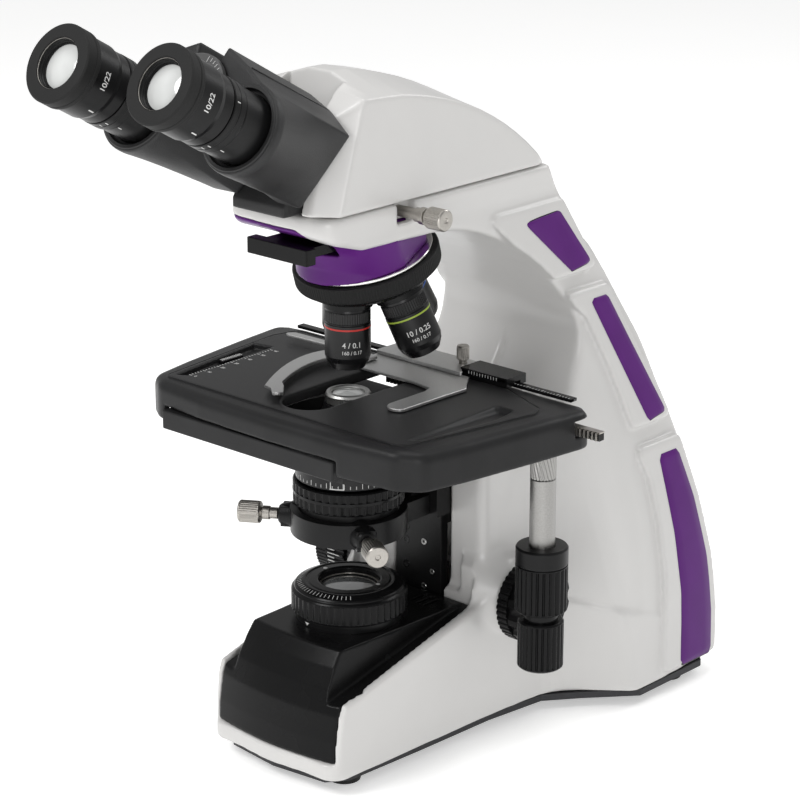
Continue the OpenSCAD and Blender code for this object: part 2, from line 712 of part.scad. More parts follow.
module stage_base() {
    color([0.13, 0.13, 0.13]) difference() {
        union() {
            translate([-76, -52, base_stage_z]) cube([122, 103, base_stage_t - 3]);
            translate([-60, -40, base_stage_z]) cube([104, 90, base_stage_t + 2.5]);
            for (x = [-60, 38]) translate([x, -29, base_stage_z]) cube([6, 53, 21.8]);
            translate([40, -26, base_stage_z + 3]) cube([42, 76, 4]);
        }
        translate([0, 0, base_stage_z - 1]) cylinder(r = 33, h = 40);
    }
    // rack of the front-rear motion on the right edge
    color("silver") difference() {
        translate([81.9, -26, base_stage_z + 2]) cube([6, 100, 5]);
        for (i = [0 : 37]) translate([88.6, -24 + 2.6 * i, base_stage_z + 1]) rotate([0, 0, 45])
            cube([1.6, 1.6, 8]);
    }
}
module x_slider() {
    color([0.1, 0.1, 0.1]) {
        // strips before and behind the rail, under the holder plate
        translate([-24, rail_y - 6, stage_z + 0.3]) cube([56, 5.9, 2.2]);
        translate([-24, rail_y + 5.1, 187]) cube([56, 4.5, stage_z + 2.5 - 187]);
        // block with the vernier, bridging the rail
        difference() {
            translate([30.2, rail_y - 6, stage_z + 0.3]) cube([31.8, 15.6, 5.1]);
            translate([20, rail_y - 0.1, stage_z - 1]) cube([50, 5.2, rail_h + 1.15]);
        }
    }
    // rack of the left-right motion, carried under the plate
    color("silver") {
        difference() {
            translate([-20, rail_y - 9.6, 187]) cube([146, 4.6, 4.5]);
            for (i = [0 : 55]) translate([-18 + 2.6 * i, rail_y - 10.6, 186]) rotate([0, 0, 45])
                cube([1.5, 1.5, 8]);
        }
        translate([-20, rail_y - 5.2, 187]) cube([50, 11, 3]);
    }
}
holder_plan = concat([[-26, 52], [-26, 34], [-17, 26], [22, 26], [36, 24], [37, -8]],
    arc([43.5, -8], 6.5, 180, 330, 6), [[50, 36], [45, 42], [38, 52]]);
module slide_holder() {
    color("lightgray") difference() {
        union() {
            translate([0, 0, stage_z + 0.4]) linear_extrude(holder_t) polygon(holder_plan);
            translate([-26, 49, stage_z + 0.4]) cube([56, 3, 4]);
            translate([0, 0, stage_z + 2.6]) linear_extrude(holder_t)
                polygon([[-26, 49], [36, 49], [30, 55], [30, 70], [-24, 70], [-26, 66]]);
        }
        translate([pivot_x, pivot_y, stage_z - 1]) cylinder(r = 1.55, h = 10);
    }
}
finger_plan = concat(bez([-17, 40], [-44, 46], [-58, 22], [-28, -32], 12), [[-17, -32]],
    bez([-19, -27], [-44, 14], [-36, 30], [-25, 31], 10), [[-17, 32]]);
module holder_finger() {
    color("lightgray") translate([0, 0, stage_z + 2.5]) {
        linear_extrude(1.6) polygon(finger_plan);
        translate([pivot_x, pivot_y, -1.9]) cylinder(r = 1.5, h = 2);
        translate([-84, 40, 0]) cube([58, 4, 1.6]);
    }
}
module holder_screws() {
    color("silver") for (x = [-13, 24.4]) translate([x, rail_y + 2.5, stage_z + 4.4]) {
        cylinder(r = 2, h = 2.5);
        translate([0, 0, 2.4]) fluted(3.4, 7.5, 18, 0.4, 0.25);
    }
}
module y_knob() {
    color([0.1, 0.1, 0.1]) translate([drive_x, drive_y, 89]) difference() {
        fluted(y_knob_r, 36, 24, 1.1, 0.6);
        translate([0, 0, -1]) cylinder(r = y_shaft_r + 0.01, h = 40);
    }
}
module y_shaft() {
    color("silver") translate([drive_x, drive_y, 0]) difference() {
        union() {
            translate([0, 0, 92]) cylinder(r = y_shaft_r, h = 70);
            translate([0, 0, 161.9]) gear(y_shaft_r, y_shaft_r - 0.7, 26, 18);
            translate([0, 0, 179.8]) cylinder(r = y_shaft_r, h = 6);
        }
        translate([0, 0, 80]) cylinder(r = 4.05, h = 120);
    }
}
module x_knob() {
    color([0.1, 0.1, 0.1]) translate([drive_x, drive_y, 0]) {
        translate([0, 0, 57]) fluted(x_knob_r, 27, 24, 1, 0.5);
        translate([0, 0, 83.9]) cylinder(r = 9, h = 4.7);
        translate([0, 0, 88]) cylinder(r = 4, h = 99);
    }
    color("silver") translate([drive_x, drive_y, 186.9]) gear(5.2, 4.1, 12, 4.8);
}

// ---- condenser ----
module condenser_carrier() {
    color([0.12, 0.12, 0.12]) difference() {
        union() {
            translate([0, 0, 122]) cylinder(r = 31, h = 13);
            translate([-17, 10, 122]) cube([34, 34.6, 11]);
            translate([-12, 36, 122]) cube([24, 8.6, 34]);
            for (s = [-1, 1]) rotate([0, 0, s * screw_angle]) translate([-5, -36, 122.5]) cube([10, 12, 11]);
        }
        translate([0, 0, 110]) cylinder(r = 26.6, h = 40);
        for (s = [-1, 1]) rotate([0, 0, s * screw_angle]) translate([0, -60, screw_z])
            rotate([-90, 0, 0]) cylinder(r = 2.05, h = 50);
    }
}
module condenser_knob() {
    color([0.1, 0.1, 0.1]) translate([0, 49, 140]) rotate([0, 90, 0]) {
        translate([0, 0, -44]) fluted(8.4, 14, 24, 0.8, 0.5);
        translate([0, 0, -31]) cylinder(r = 3.6, h = 8.8);
    }
}
module condenser_body() {
    color([0.13, 0.13, 0.13]) difference() {
        union() {
            translate([0, 0, 121.5]) cylinder(r1 = 17, r2 = 23, h = 5.5);
            translate([0, 0, 126.9]) cylinder(r = 23, h = 6);
            translate([0, 0, 132.8]) cylinder(r = 26, h = 6);
            translate([0, 0, 138.7]) cylinder(r = 24, h = 14);
            translate([0, 0, 152.5]) cylinder(r = 28, h = 8);
            translate([0, 0, 160.4]) cylinder(r = 24, h = 12);
            translate([0, 0, 172.3]) cylinder(r1 = 21, r2 = 12, h = 21);
            translate([0, 0, 193.2]) cylinder(r = 11.4, h = 5.4);
        }
        translate([0, 0, 118]) cylinder(r = 12, h = 60);
        translate([0, 0, 177.9]) cylinder(r = 8.5, h = 30);
    }
}
module condenser_lens() {
    color([0.85, 0.88, 0.9, 0.7]) {
        translate([0, 0, 193]) cylinder(r = 8.48, h = 5);
        translate([0, 0, 168]) cylinder(r = 11.98, h = 5);
    }
}
module iris_ring() {
    color([0.1, 0.1, 0.1]) translate([0, 0, cond_ring_z]) difference() {
        fluted(cond_ring_r, 13.2, 40, 1.4, 0.7);
        translate([0, 0, -1]) cylinder(r = 24.05, h = 20);
    }
}
module condenser_screw(side) {
    color("silver") rotate([0, 0, side * screw_angle]) translate([0, -47.5, screw_z])
        rotate([90, 0, 0]) {
            fluted(6, 12, 28, 0.5, 0.3);
            translate([0, 0, -9]) cylinder(r = 3.4, h = 9.1);
            translate([0, 0, -24.2]) cylinder(r = 2, h = 20);
        }
}
module condenser_screw_right() { condenser_screw(1); }
module condenser_screw_left() { condenser_screw(-1); }

// ---- lamp controls ----
module field_diaphragm_ring() {
    color([0.1, 0.1, 0.1]) translate([0, 0, field_z]) difference() {
        union() {
            fluted(field_r, 12, 44, 1.4, 0.7);
            translate([0, 0, 11.9]) cylinder(r1 = 29.5, r2 = 27.5, h = 3.9);
        }
        translate([0, 0, -1]) cylinder(r = 23.85, h = 11);
        translate([0, 0, -2]) cylinder(r = 16, h = 30);
    }
}
module power_switch() {
    color("black") {
        translate([48.5, 210.5, 38]) rotate([90, 0, 0]) translate([0, 0, -1])
            linear_extrude(14) polygon([[-7, -9], [7, -9], [7, 9], [-7, 9]]);
        // pivot pins
        translate([40.6, 203.5, 38]) rotate([0, 90, 0]) cylinder(r = 1.5, h = 15.8);
    }
}
module brightness_dial() {
    color("black") translate([-50.5, -8, 30]) rotate([0, -90, 0]) {
        fluted(11, 9, 36, 0.8, 0.5);
        translate([0, 0, -8]) cylinder(r = 3, h = 8.1);
    }
}

stand_casting();
base_plate();
rubber_feet();
lamp_cover();
field_collar();
lamp_lenses();
led_module();
power_inlet();
purple_inlays();
nosepiece_housing();
nosepiece_ring();
head_seat();
guide_block();
field_diaphragm_ring();
power_switch();
brightness_dial();
filter_slider();
turret_body();
turret_grip();
objective_4x();
objective_10x();
objective_40x();
objective_100x();
head_housing();
binocular_body();
head_prism();
hinge_cap();
right_tube_housing();
left_tube_housing();
right_eye_tube();
left_eye_tube();
right_diopter_ring();
left_diopter_ring();
right_eyepiece();
left_eyepiece();
right_eye_lens();
left_eye_lens();
head_clamp_screw();
focus_carriage();
focus_rack();
coarse_knobs();
focus_pinion();
fine_knobs();
tension_ring();
stage_base();
stage_top();
x_slider();
slide_holder();
holder_finger();
holder_screws();
y_knob();
y_shaft();
x_knob();
condenser_carrier();
condenser_knob();
condenser_body();
condenser_lens();
iris_ring();
condenser_screw_right();
condenser_screw_left();
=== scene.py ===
"""An upright biological microscope: looks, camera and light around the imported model."""
import json
import math

import bmesh
import bpy
import numpy as np
from mathutils import Matrix, Vector


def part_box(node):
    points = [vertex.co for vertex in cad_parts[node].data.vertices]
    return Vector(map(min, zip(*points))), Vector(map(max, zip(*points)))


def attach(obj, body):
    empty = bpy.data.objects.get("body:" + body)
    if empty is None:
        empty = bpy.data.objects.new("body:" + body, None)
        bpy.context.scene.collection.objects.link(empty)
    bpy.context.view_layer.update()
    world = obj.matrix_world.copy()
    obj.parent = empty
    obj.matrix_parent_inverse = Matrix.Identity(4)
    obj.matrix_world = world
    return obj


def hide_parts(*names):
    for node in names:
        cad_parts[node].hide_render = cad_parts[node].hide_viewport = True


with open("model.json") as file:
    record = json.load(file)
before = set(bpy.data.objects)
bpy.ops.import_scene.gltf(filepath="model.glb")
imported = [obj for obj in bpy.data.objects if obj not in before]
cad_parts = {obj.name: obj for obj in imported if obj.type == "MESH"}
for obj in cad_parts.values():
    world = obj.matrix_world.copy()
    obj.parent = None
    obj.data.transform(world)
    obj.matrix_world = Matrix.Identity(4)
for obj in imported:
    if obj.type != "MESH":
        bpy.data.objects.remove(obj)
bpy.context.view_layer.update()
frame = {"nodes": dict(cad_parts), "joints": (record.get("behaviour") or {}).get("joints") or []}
nodes = frame["nodes"]
joints = {j["name"]: j for j in frame["joints"]}
MM = 0.001
TAU = 2 * math.pi

# ---------------------------------------------------------------- frames
# Every place below is in millimetres in the row frame, or in one of these frames.
HINGE = Vector(joints["right_arm_swing"]["pos_m"]) / MM
TUBE_UP = Vector(joints["right_arm_swing"]["axis"]).normalized()
TUBE_DOWN = -TUBE_UP
TUBE_LIFT = Vector((0, -TUBE_DOWN.z, TUBE_DOWN.y))
EYE_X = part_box("right_eye_lens")[0].x / MM * 0.5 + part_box("right_eye_lens")[1].x / MM * 0.5
HINGE_DROP = 12.3
ARM_S0 = 57.0
ARM_MID = 89.0
ARM_S1 = 121.0
ARM_CLOSE = math.radians(22)
ARM_OPEN = math.radians(8)
LOBE_R = 18.0
STAGE_Z = 200.0
PARTING_Z = 305.0
FOCUS = Vector(joints["coarse_turn"]["pos_m"]) / MM
DRIVE = Vector(joints["y_knob_turn"]["pos_m"]) / MM
APEX = Vector(joints["turret_turn"]["pos_m"]) / MM
NOSE_UP = Vector(joints["turret_turn"]["axis"]).normalized()
SCREW_ANGLE = math.radians(58)
NOSE_TILT = math.radians(16)
CONE_L = 19.5 / math.sin(NOSE_TILT)


def basis(origin, axis, x_hint=(1, 0, 0)):
    """A placement whose z runs along axis and whose x is as near x_hint as it can be."""
    z = Vector(axis).normalized()
    x = Vector(x_hint if abs(z.dot(Vector(x_hint))) < 0.99 else (0, 1, 0))
    x = (x - x.dot(z) * z).normalized()
    y = z.cross(x)
    m = Matrix((x, y, z)).transposed().to_4x4()
    m.translation = Vector(origin)
    return m


def tube(side):
    """z runs down the eye tube from the eyepiece rim, x to the right."""
    return basis(HINGE + Vector((side * EYE_X, 0, 0)) - HINGE_DROP * TUBE_LIFT, TUBE_DOWN)


# ---------------------------------------------------------------- materials
def shader(name, color, rough, metal=0.0, **sockets):
    """A material with one Principled shader; returns it with its tree and shader node."""
    mat = bpy.data.materials.new(name)
    mat.use_nodes = True
    tree = mat.node_tree
    bsdf = tree.nodes["Principled BSDF"]
    bsdf.inputs["Base Color"].default_value = (*color, 1)
    bsdf.inputs["Roughness"].default_value = rough
    bsdf.inputs["Metallic"].default_value = metal
    for key, value in sockets.items():
        bsdf.inputs[key.replace("_", " ")].default_value = value
    return mat, tree, bsdf


def noise(tree, scale, detail=3.0):
    """A noise texture in the object's own coordinates."""
    coord = tree.nodes.new("ShaderNodeTexCoord")
    tex = tree.nodes.new("ShaderNodeTexNoise")
    tex.inputs["Scale"].default_value = scale
    tex.inputs["Detail"].default_value = detail
    tex.inputs["Roughness"].default_value = 0.55
    tree.links.new(coord.outputs["Object"], tex.inputs["Vector"])
    return tex


def vary(tree, bsdf, socket, tex, low, high):
    """Drives a number socket between low and high by a texture."""
    ramp = tree.nodes.new("ShaderNodeMapRange")
    ramp.inputs["From Min"].default_value = 0.3
    ramp.inputs["From Max"].default_value = 0.7
    ramp.inputs["To Min"].default_value = low
    ramp.inputs["To Max"].default_value = high
    tree.links.new(tex.outputs["Fac"], ramp.inputs["Value"])
    tree.links.new(ramp.outputs["Result"], bsdf.inputs[socket])


def tint(tree, bsdf, tex, dark, light):
    """Drives the base colour between two near shades by a texture."""
    ramp = tree.nodes.new("ShaderNodeValToRGB")
    ramp.color_ramp.elements[0].position = 0.35
    ramp.color_ramp.elements[1].position = 0.65
    ramp.color_ramp.elements[0].color = (*dark, 1)
    ramp.color_ramp.elements[1].color = (*light, 1)
    tree.links.new(tex.outputs["Fac"], ramp.inputs["Fac"])
    tree.links.new(ramp.outputs["Color"], bsdf.inputs["Base Color"])


def bump(tree, bsdf, textures, distance):
    """Adds one bump node per (texture, strength), in a chain."""
    last = None
    for tex, strength in textures:
        node = tree.nodes.new("ShaderNodeBump")
        node.inputs["Strength"].default_value = strength
        node.inputs["Distance"].default_value = distance
        tree.links.new(tex.outputs["Fac"], node.inputs["Height"])
        if last is not None:
            tree.links.new(last.outputs["Normal"], node.inputs["Normal"])
        last = node
    tree.links.new(last.outputs["Normal"], bsdf.inputs["Normal"])


def shades(color, spread):
    """A darker and a lighter shade of a colour."""
    return [tuple(c * (1 - spread) for c in color), tuple(min(1, c * (1 + spread)) for c in color)]


def paint(name, color, rough, grain, strength, spread=0.04, coat=0.0, gloss=0.5):
    """Paint or moulded plastic: fine grain and a slight broad mottling."""
    mat, tree, bsdf = shader(name, color, rough, Coat_Weight=coat, Coat_Roughness=0.12,
                             Specular_IOR_Level=gloss)
    fine = noise(tree, grain, 2.0)
    broad = noise(tree, 45.0, 2.0)
    bump(tree, bsdf, [(fine, strength)], 0.0003)
    vary(tree, bsdf, "Roughness", broad, rough * 0.96, rough * 1.04)
    tint(tree, bsdf, broad, *shades(color, spread))
    return mat


def metal(name, color, rough, grain, strength, stretch=(1, 1, 1), aniso=0.0):
    """Turned, brushed or blasted metal."""
    mat, tree, bsdf = shader(name, color, rough, 1.0, Anisotropic=aniso)
    tex = noise(tree, grain, 3.0)
    mapping = tree.nodes.new("ShaderNodeMapping")
    mapping.inputs["Scale"].default_value = stretch
    link = tex.inputs["Vector"].links[0]
    source = link.from_socket
    tree.links.new(source, mapping.inputs["Vector"])
    tree.links.new(mapping.outputs["Vector"], tex.inputs["Vector"])
    bump(tree, bsdf, [(tex, strength)], 0.0002)
    vary(tree, bsdf, "Roughness", tex, rough * 0.8, rough * 1.25)
    tint(tree, bsdf, tex, *shades(color, 0.07))
    return mat


def clear(name, color, rough):
    """Coated optical glass over a pale inside, with a faint film variation."""
    mat, tree, bsdf = shader(name, color, rough, Coat_Weight=1.0, Coat_Roughness=0.03)
    tex = noise(tree, 60.0, 1.0)
    vary(tree, bsdf, "Roughness", tex, rough * 0.7, rough * 1.3)
    tint(tree, bsdf, tex, *shades(color, 0.10))
    return mat


MAT = {
    "white": paint("white_enamel", (0.62, 0.612, 0.60), 0.30, 1100, 0.025, 0.006, 0.2),
    "purple": paint("purple_enamel", (0.098, 0.016, 0.165), 0.30, 1200, 0.05, 0.05, 0.0, 0.16),
    "black_grain": paint("black_textured", (0.020, 0.020, 0.0205), 0.45, 1500, 0.5, 0.18, 0.0, 0.3),
    "black_satin": paint("black_satin", (0.007, 0.007, 0.0073), 0.32, 1800, 0.16, 0.10, 0.0, 0.2),
    "cover": paint("lamp_cover_paint", (0.006, 0.006, 0.0062), 0.27, 2000, 0.2, 0.08, 0.0, 0.14),
    "stage": paint("stage_black", (0.018, 0.018, 0.0185), 0.36, 2200, 0.22, 0.10, 0.0, 0.16),
    "black_gloss": paint("black_anodised", (0.005, 0.005, 0.0053), 0.24, 1500, 0.05, 0.10, 0.0, 0.2),
    "black_plastic": paint("black_plastic", (0.005, 0.005, 0.0053), 0.25, 1300, 0.07, 0.08, 0.0, 0.15),
    "rubber": paint("rubber", (0.009, 0.009, 0.009), 0.66, 900, 0.4, 0.12, 0.0, 0.3),
    "grey": paint("grey_disc", (0.075, 0.075, 0.075), 0.42, 1600, 0.3, 0.06, 0.0, 0.35),
    "plate": metal("blasted_plate", (0.56, 0.56, 0.555), 0.42, 1500, 0.25),
    "nickel": metal("satin_nickel", (0.42, 0.40, 0.37), 0.36, 900, 0.12, aniso=0.3),
    "steel": metal("ground_steel", (0.45, 0.45, 0.44), 0.34, 700, 0.2, (6, 6, 1), 0.3),
    "objective": paint("objective_black", (0.006, 0.006, 0.0065), 0.28, 1800, 0.08, 0.10, 0.0, 0.35),
    "condenser": paint("condenser_black", (0.007, 0.007, 0.0075), 0.34, 1700, 0.14, 0.10, 0.0, 0.3),
    "drive_steel": metal("drive_steel", (0.32, 0.315, 0.305), 0.34, 1300, 0.6, aniso=0.2),
    "chrome": metal("bright_ring", (0.80, 0.79, 0.77), 0.12, 500, 0.05),
    "aluminium": metal("aluminium", (0.56, 0.56, 0.56), 0.36, 700, 0.15),
    "brass": metal("brass", (0.60, 0.44, 0.20), 0.28, 600, 0.12),
    "dark_metal": metal("black_plate", (0.055, 0.055, 0.058), 0.45, 900, 0.2),
    "mark": paint("white_mark", (0.66, 0.66, 0.65), 0.5, 2000, 0.05, 0.03),
    "red": paint("red_ring", (0.55, 0.020, 0.014), 0.35, 1500, 0.05, 0.05),
    "lime": paint("lime_ring", (0.34, 0.46, 0.05), 0.35, 1500, 0.05, 0.05),
    "blue": paint("blue_ring", (0.03, 0.12, 0.50), 0.35, 1500, 0.05, 0.05),
    "lens": clear("eye_lens", (0.62, 0.63, 0.62), 0.10),
    "field_glass": clear("field_glass", (0.15, 0.155, 0.155), 0.10),
    "dark_glass": clear("front_glass", (0.20, 0.21, 0.21), 0.08),
}


# ---------------------------------------------------------------- pieces
def place_in_scene(name, data):
    """A new object in the scene."""
    obj = bpy.data.objects.new(name, data)
    bpy.context.scene.collection.objects.link(obj)
    return obj


def piece(name, points, faces, material, body, replaces=()):
    """A mesh object from points in millimetres, smooth, riding on a body."""
    mesh = bpy.data.meshes.new(name)
    points = np.asarray(points, float) * MM
    mesh.from_pydata(points.tolist(), [], [list(map(int, f)) for f in faces])
    mesh.validate()
    mesh.polygons.foreach_set("use_smooth", [True] * len(mesh.polygons))
    mesh.materials.append(MAT[material])
    obj = place_in_scene(name, mesh)
    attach(obj, body)
    if replaces:
        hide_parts(*replaces)
    return obj


def weighted(obj):
    """Shades a piece by the size of its faces, so that flats stay flat."""
    mod = obj.modifiers.new("normals", "WEIGHTED_NORMAL")
    mod.keep_sharp = True
    mod.weight = 80
    return obj


def softened(profile, radius):
    """Rounds each corner of a profile of (r, z) points with a small arc."""
    pts = [np.array(p[:2], float) for p in profile]
    out = []
    n = len(pts)
    for i, p in enumerate(pts):
        a, b = pts[i - 1], pts[(i + 1) % n]
        la, lb = np.linalg.norm(a - p), np.linalg.norm(b - p)
        if la < 1e-6 or lb < 1e-6:
            out.append(p)
            continue
        ua, ub = (a - p) / la, (b - p) / lb
        turn = math.acos(max(-1, min(1, float(ua @ ub))))
        if turn > 2.9:
            out.append(p)
            continue
        cut = min(radius / math.tan(turn / 2), 0.45 * la, 0.45 * lb)
        for t in (0, 0.33, 0.67, 1):
            q0 = p + ua * cut * (1 - t)
            q1 = p + ub * cut * t
            out.append(q0 * (1 - t) + q1 * t)
    return out


def turned(name, body, place, profile, material, replaces=(), ripple=None, seg=96, soft=0.35,
           ripple_z=None):
    """A turned part. profile is a closed loop of (r, z); ripple(angle, r, z) is added to r."""
    loop = softened(profile, soft)
    for level in getattr(ripple, "levels", ()):
        dense = []
        for i, p in enumerate(loop):
            q = loop[(i + 1) % len(loop)]
            dense.append(p)
            if (p[1] - level) * (q[1] - level) < 0:
                dense.append(p + (q - p) * (level - p[1]) / (q[1] - p[1]))
        loop = dense
    if ripple_z:
        dense = []
        for i, p in enumerate(loop):
            q = loop[(i + 1) % len(loop)]
            steps = int(abs(q[1] - p[1]) / ripple_z) + 1
            dense += [p + (q - p) * t / steps for t in range(steps)]
        loop = dense
    n = len(loop)
    angle = np.arange(seg) * TAU / seg
    r = np.array([p[0] for p in loop])[:, None] * np.ones(seg)
    z = np.array([p[1] for p in loop])[:, None] * np.ones(seg)
    if ripple:
        r = r + ripple(angle[None, :] * np.ones((n, 1)), r, z)
    pts = np.stack([r * np.cos(angle), r * np.sin(angle), z], -1).reshape(-1, 3)
    rot = np.array(place.to_3x3())
    pts = pts @ rot.T + np.array(place.translation)
    faces = []
    for i in range(n):
        k = (i + 1) % n
        if loop[i][0] < 1e-6 and loop[k][0] < 1e-6:
            continue
        for j in range(seg):
            m = (j + 1) % seg
            faces.append((i * seg + j, i * seg + m, k * seg + m, k * seg + j))
    obj = piece(name, pts, faces, material, body, replaces)
    tidy_mesh(obj)
    return weighted(obj)


def tidy_mesh(obj):
    """Merges points that coincide and makes the faces point outwards."""
    bm = bmesh.new()
    bm.from_mesh(obj.data)
    bmesh.ops.remove_doubles(bm, verts=bm.verts, dist=2e-6)
    bmesh.ops.dissolve_degenerate(bm, edges=bm.edges, dist=1e-6)
    bmesh.ops.recalc_face_normals(bm, faces=bm.faces)
    bm.to_mesh(obj.data)
    bm.free()
    obj.data.polygons.foreach_set("use_smooth", [True] * len(obj.data.polygons))


def slab(name, body, place, outline, z0, z1, material, bevel=0.4, replaces=()):
    """A plate with the outline (x, y) and rounded edges, from z0 to z1."""
    bm = bmesh.new()
    low = [bm.verts.new((p[0], p[1], z0)) for p in outline]
    face = bm.faces.new(low)
    top = bmesh.ops.extrude_face_region(bm, geom=[face])
    moved = [g for g in top["geom"] if isinstance(g, bmesh.types.BMVert)]
    bmesh.ops.translate(bm, verts=moved, vec=(0, 0, z1 - z0))
    bmesh.ops.recalc_face_normals(bm, faces=bm.faces)
    if bevel:
        edges = [e for e in bm.edges if abs(e.verts[0].co.z - e.verts[1].co.z) < 1e-6]
        bmesh.ops.bevel(bm, geom=edges, offset=bevel, segments=3, affect="EDGES",
                        profile=0.5, clamp_overlap=True)
    bm.transform(place)
    pts = [v.co[:] for v in bm.verts]
    bm.verts.index_update()
    faces = [[v.index for v in f.verts] for f in bm.faces]
    bm.free()
    return weighted(piece(name, pts, faces, material, body, replaces))


def arc(cx, cy, r, a0, a1, n):
    """Points on an arc, angles in degrees."""
    return [(cx + r * math.cos(math.radians(a0 + (a1 - a0) * i / n)),
             cy + r * math.sin(math.radians(a0 + (a1 - a0) * i / n))) for i in range(n + 1)]


def rounded(points, radius, n=5):
    """Rounds the corners of an outline; radius is one number or one per corner."""
    out = []
    count = len(points)
    radii = radius if isinstance(radius, (list, tuple)) else [radius] * count
    for i in range(count):
        p = np.array(points[i], float)
        a = np.array(points[i - 1], float) - p
        b = np.array(points[(i + 1) % count], float) - p
        la, lb = np.linalg.norm(a), np.linalg.norm(b)
        half = math.acos(max(-1, min(1, float(a @ b) / (la * lb)))) / 2
        cut = min(radii[i] / max(math.tan(half), 1e-3), 0.48 * la, 0.48 * lb)
        if cut < 1e-3:
            out.append(tuple(p))
            continue
        for k in range(n + 1):
            t = k / n
            q0, q1 = p + a / la * cut * (1 - t), p + b / lb * cut * t
            out.append(tuple(q0 * (1 - t) + q1 * t))
    return out


def rectangle(x0, x1, y0, y1):
    """The corners of a rectangle."""
    return [(x0, y0), (x1, y0), (x1, y1), (x0, y1)]


def bezier(a, b, c, d, n):
    """Points on a cubic curve."""
    a, b, c, d = (np.array(p, float) for p in (a, b, c, d))
    return [tuple((1 - t) ** 3 * a + 3 * (1 - t) ** 2 * t * b + 3 * (1 - t) * t * t * c + t ** 3 * d)
            for t in (i / n for i in range(n + 1))]


# ---------------------------------------------------------------- cast shapes
# Castings are smooth distance fields, so that every edge and corner gets a cast radius.
def smin(a, b, k):
    """Union of two fields, blended over k."""
    if k <= 0:
        return np.minimum(a, b)
    h = np.maximum(k - np.abs(a - b), 0) / k
    return np.minimum(a, b) - h * h * k * 0.25


def smax(a, b, k):
    """Intersection of two fields, with its edge rounded over k."""
    return -smin(-a, -b, k)


def poly(u, v, points):
    """Signed distance from (u, v) to a closed outline, negative inside."""
    u, v = np.broadcast_arrays(u, v)
    best = np.full(u.shape, 1e9, np.float32)
    inside = np.zeros(u.shape, bool)
    count = len(points)
    for i in range(count):
        ax, ay = points[i]
        bx, by = points[(i + 1) % count]
        ex, ey = bx - ax, by - ay
        wx, wy = u - ax, v - ay
        t = np.clip((wx * ex + wy * ey) / (ex * ex + ey * ey + 1e-12), 0, 1)
        best = np.minimum(best, (wx - t * ex) ** 2 + (wy - t * ey) ** 2)
        if ay != by:
            crosses = (ay > v) != (by > v)
            inside ^= crosses & (u < ex * (v - ay) / ey + ax)
    return np.where(inside, -1, 1) * np.sqrt(best)


def block(X, Y, Z, *spans):
    """A box from its ranges along x, y and z."""
    x, y, z = (np.abs(value - (a + b) / 2) - (b - a) / 2 for value, (a, b) in zip((X, Y, Z), spans))
    return np.maximum(np.maximum(x, y), z)


def local(X, Y, Z, place):
    """The coordinates of the grid in a placement's own frame."""
    inv = np.array(place.inverted())
    return [inv[i, 0] * X + inv[i, 1] * Y + inv[i, 2] * Z + inv[i, 3] for i in range(3)]


def off(u, v, cu=0, cv=0):
    """Distance from the line through (cu, cv)."""
    return np.sqrt((u - cu) ** 2 + (v - cv) ** 2)


def rod(x, y, z, r, z0, z1):
    """A cylinder along local z."""
    return np.maximum(off(x, y) - r, np.maximum(z0 - z, z - z1))


def cut(body, hole, k):
    """A body with a hole taken out, its edge rounded over k."""
    return smax(body, -hole, k)


def grid(low, high, step):
    """Coordinates of a regular grid, as three arrays that broadcast."""
    axes = [np.arange(a, b + step, step, dtype=np.float32) for a, b in zip(low, high)]
    return (axes[0][:, None, None], axes[1][None, :, None], axes[2][None, None, :])


def surface(name, body, field, low, step, material, replaces=(), place=None, mirror=False):
    """The surface of a distance field on a grid, one point for each cell that it crosses, smoothed once."""
    f = np.asarray(field, np.float32)
    inside = f < 0
    shape = np.array(f.shape) - 1
    corners = [(i, j, k) for i in (0, 1) for j in (0, 1) for k in (0, 1)]
    count = np.zeros(shape, np.int8)
    for i, j, k in corners:
        count += inside[i:i + shape[0], j:j + shape[1], k:k + shape[2]]
    cells = np.argwhere((count > 0) & (count < 8))
    index = np.full(shape, -1, np.int64)
    index[tuple(cells.T)] = np.arange(len(cells))
    total = np.zeros((len(cells), 3))
    hits = np.zeros(len(cells))
    for a in corners:
        for axis in range(3):
            if a[axis]:
                continue
            b = list(a)
            b[axis] = 1
            fa = f[tuple((cells + a).T)]
            fb = f[tuple((cells + b).T)]
            cross = (fa < 0) != (fb < 0)
            t = np.where(cross, fa / np.where(cross, fa - fb, 1), 0)
            at = np.array(a)[None, :] + np.eye(3)[axis][None, :] * t[:, None]
            total += at * cross[:, None]
            hits += cross
    points = (cells + total / hits[:, None]) * step + np.array(low)
    faces = []
    for axis in range(3):
        u, v = (axis + 1) % 3, (axis + 2) % 3
        head = [slice(1, -1)] * 3
        tail = [slice(1, -1)] * 3
        head[axis], tail[axis] = slice(0, -1), slice(1, None)
        a, b = inside[tuple(head)], inside[tuple(tail)]
        for flag, flip in ((a & ~b, False), (~a & b, True)):
            at = np.argwhere(flag)
            at[:, u] += 1
            at[:, v] += 1
            eu, ev = np.eye(3, dtype=int)[u], np.eye(3, dtype=int)[v]
            quad = [index[tuple((at - eu - ev).T)], index[tuple((at - ev).T)],
                    index[tuple(at.T)], index[tuple((at - eu).T)]]
            faces.append(np.stack(quad[::-1] if flip else quad, 1))
    faces = np.concatenate(faces)
    total = np.zeros_like(points)
    near = np.zeros(len(points))
    for k in range(4):
        np.add.at(total, faces[:, k], points[faces[:, (k + 1) % 4]])
        np.add.at(near, faces[:, k], 1)
    points = points * 0.5 + total / near[:, None] * 0.5
    if mirror:
        points = points * np.array([-1, 1, 1])
        faces = faces[:, ::-1]
    if place is not None:
        points = points @ np.array(place.to_3x3()).T + np.array(place.translation)
    return piece(name, points, faces, material, body, replaces)


COARSE = 1.2
FINE = 0.8

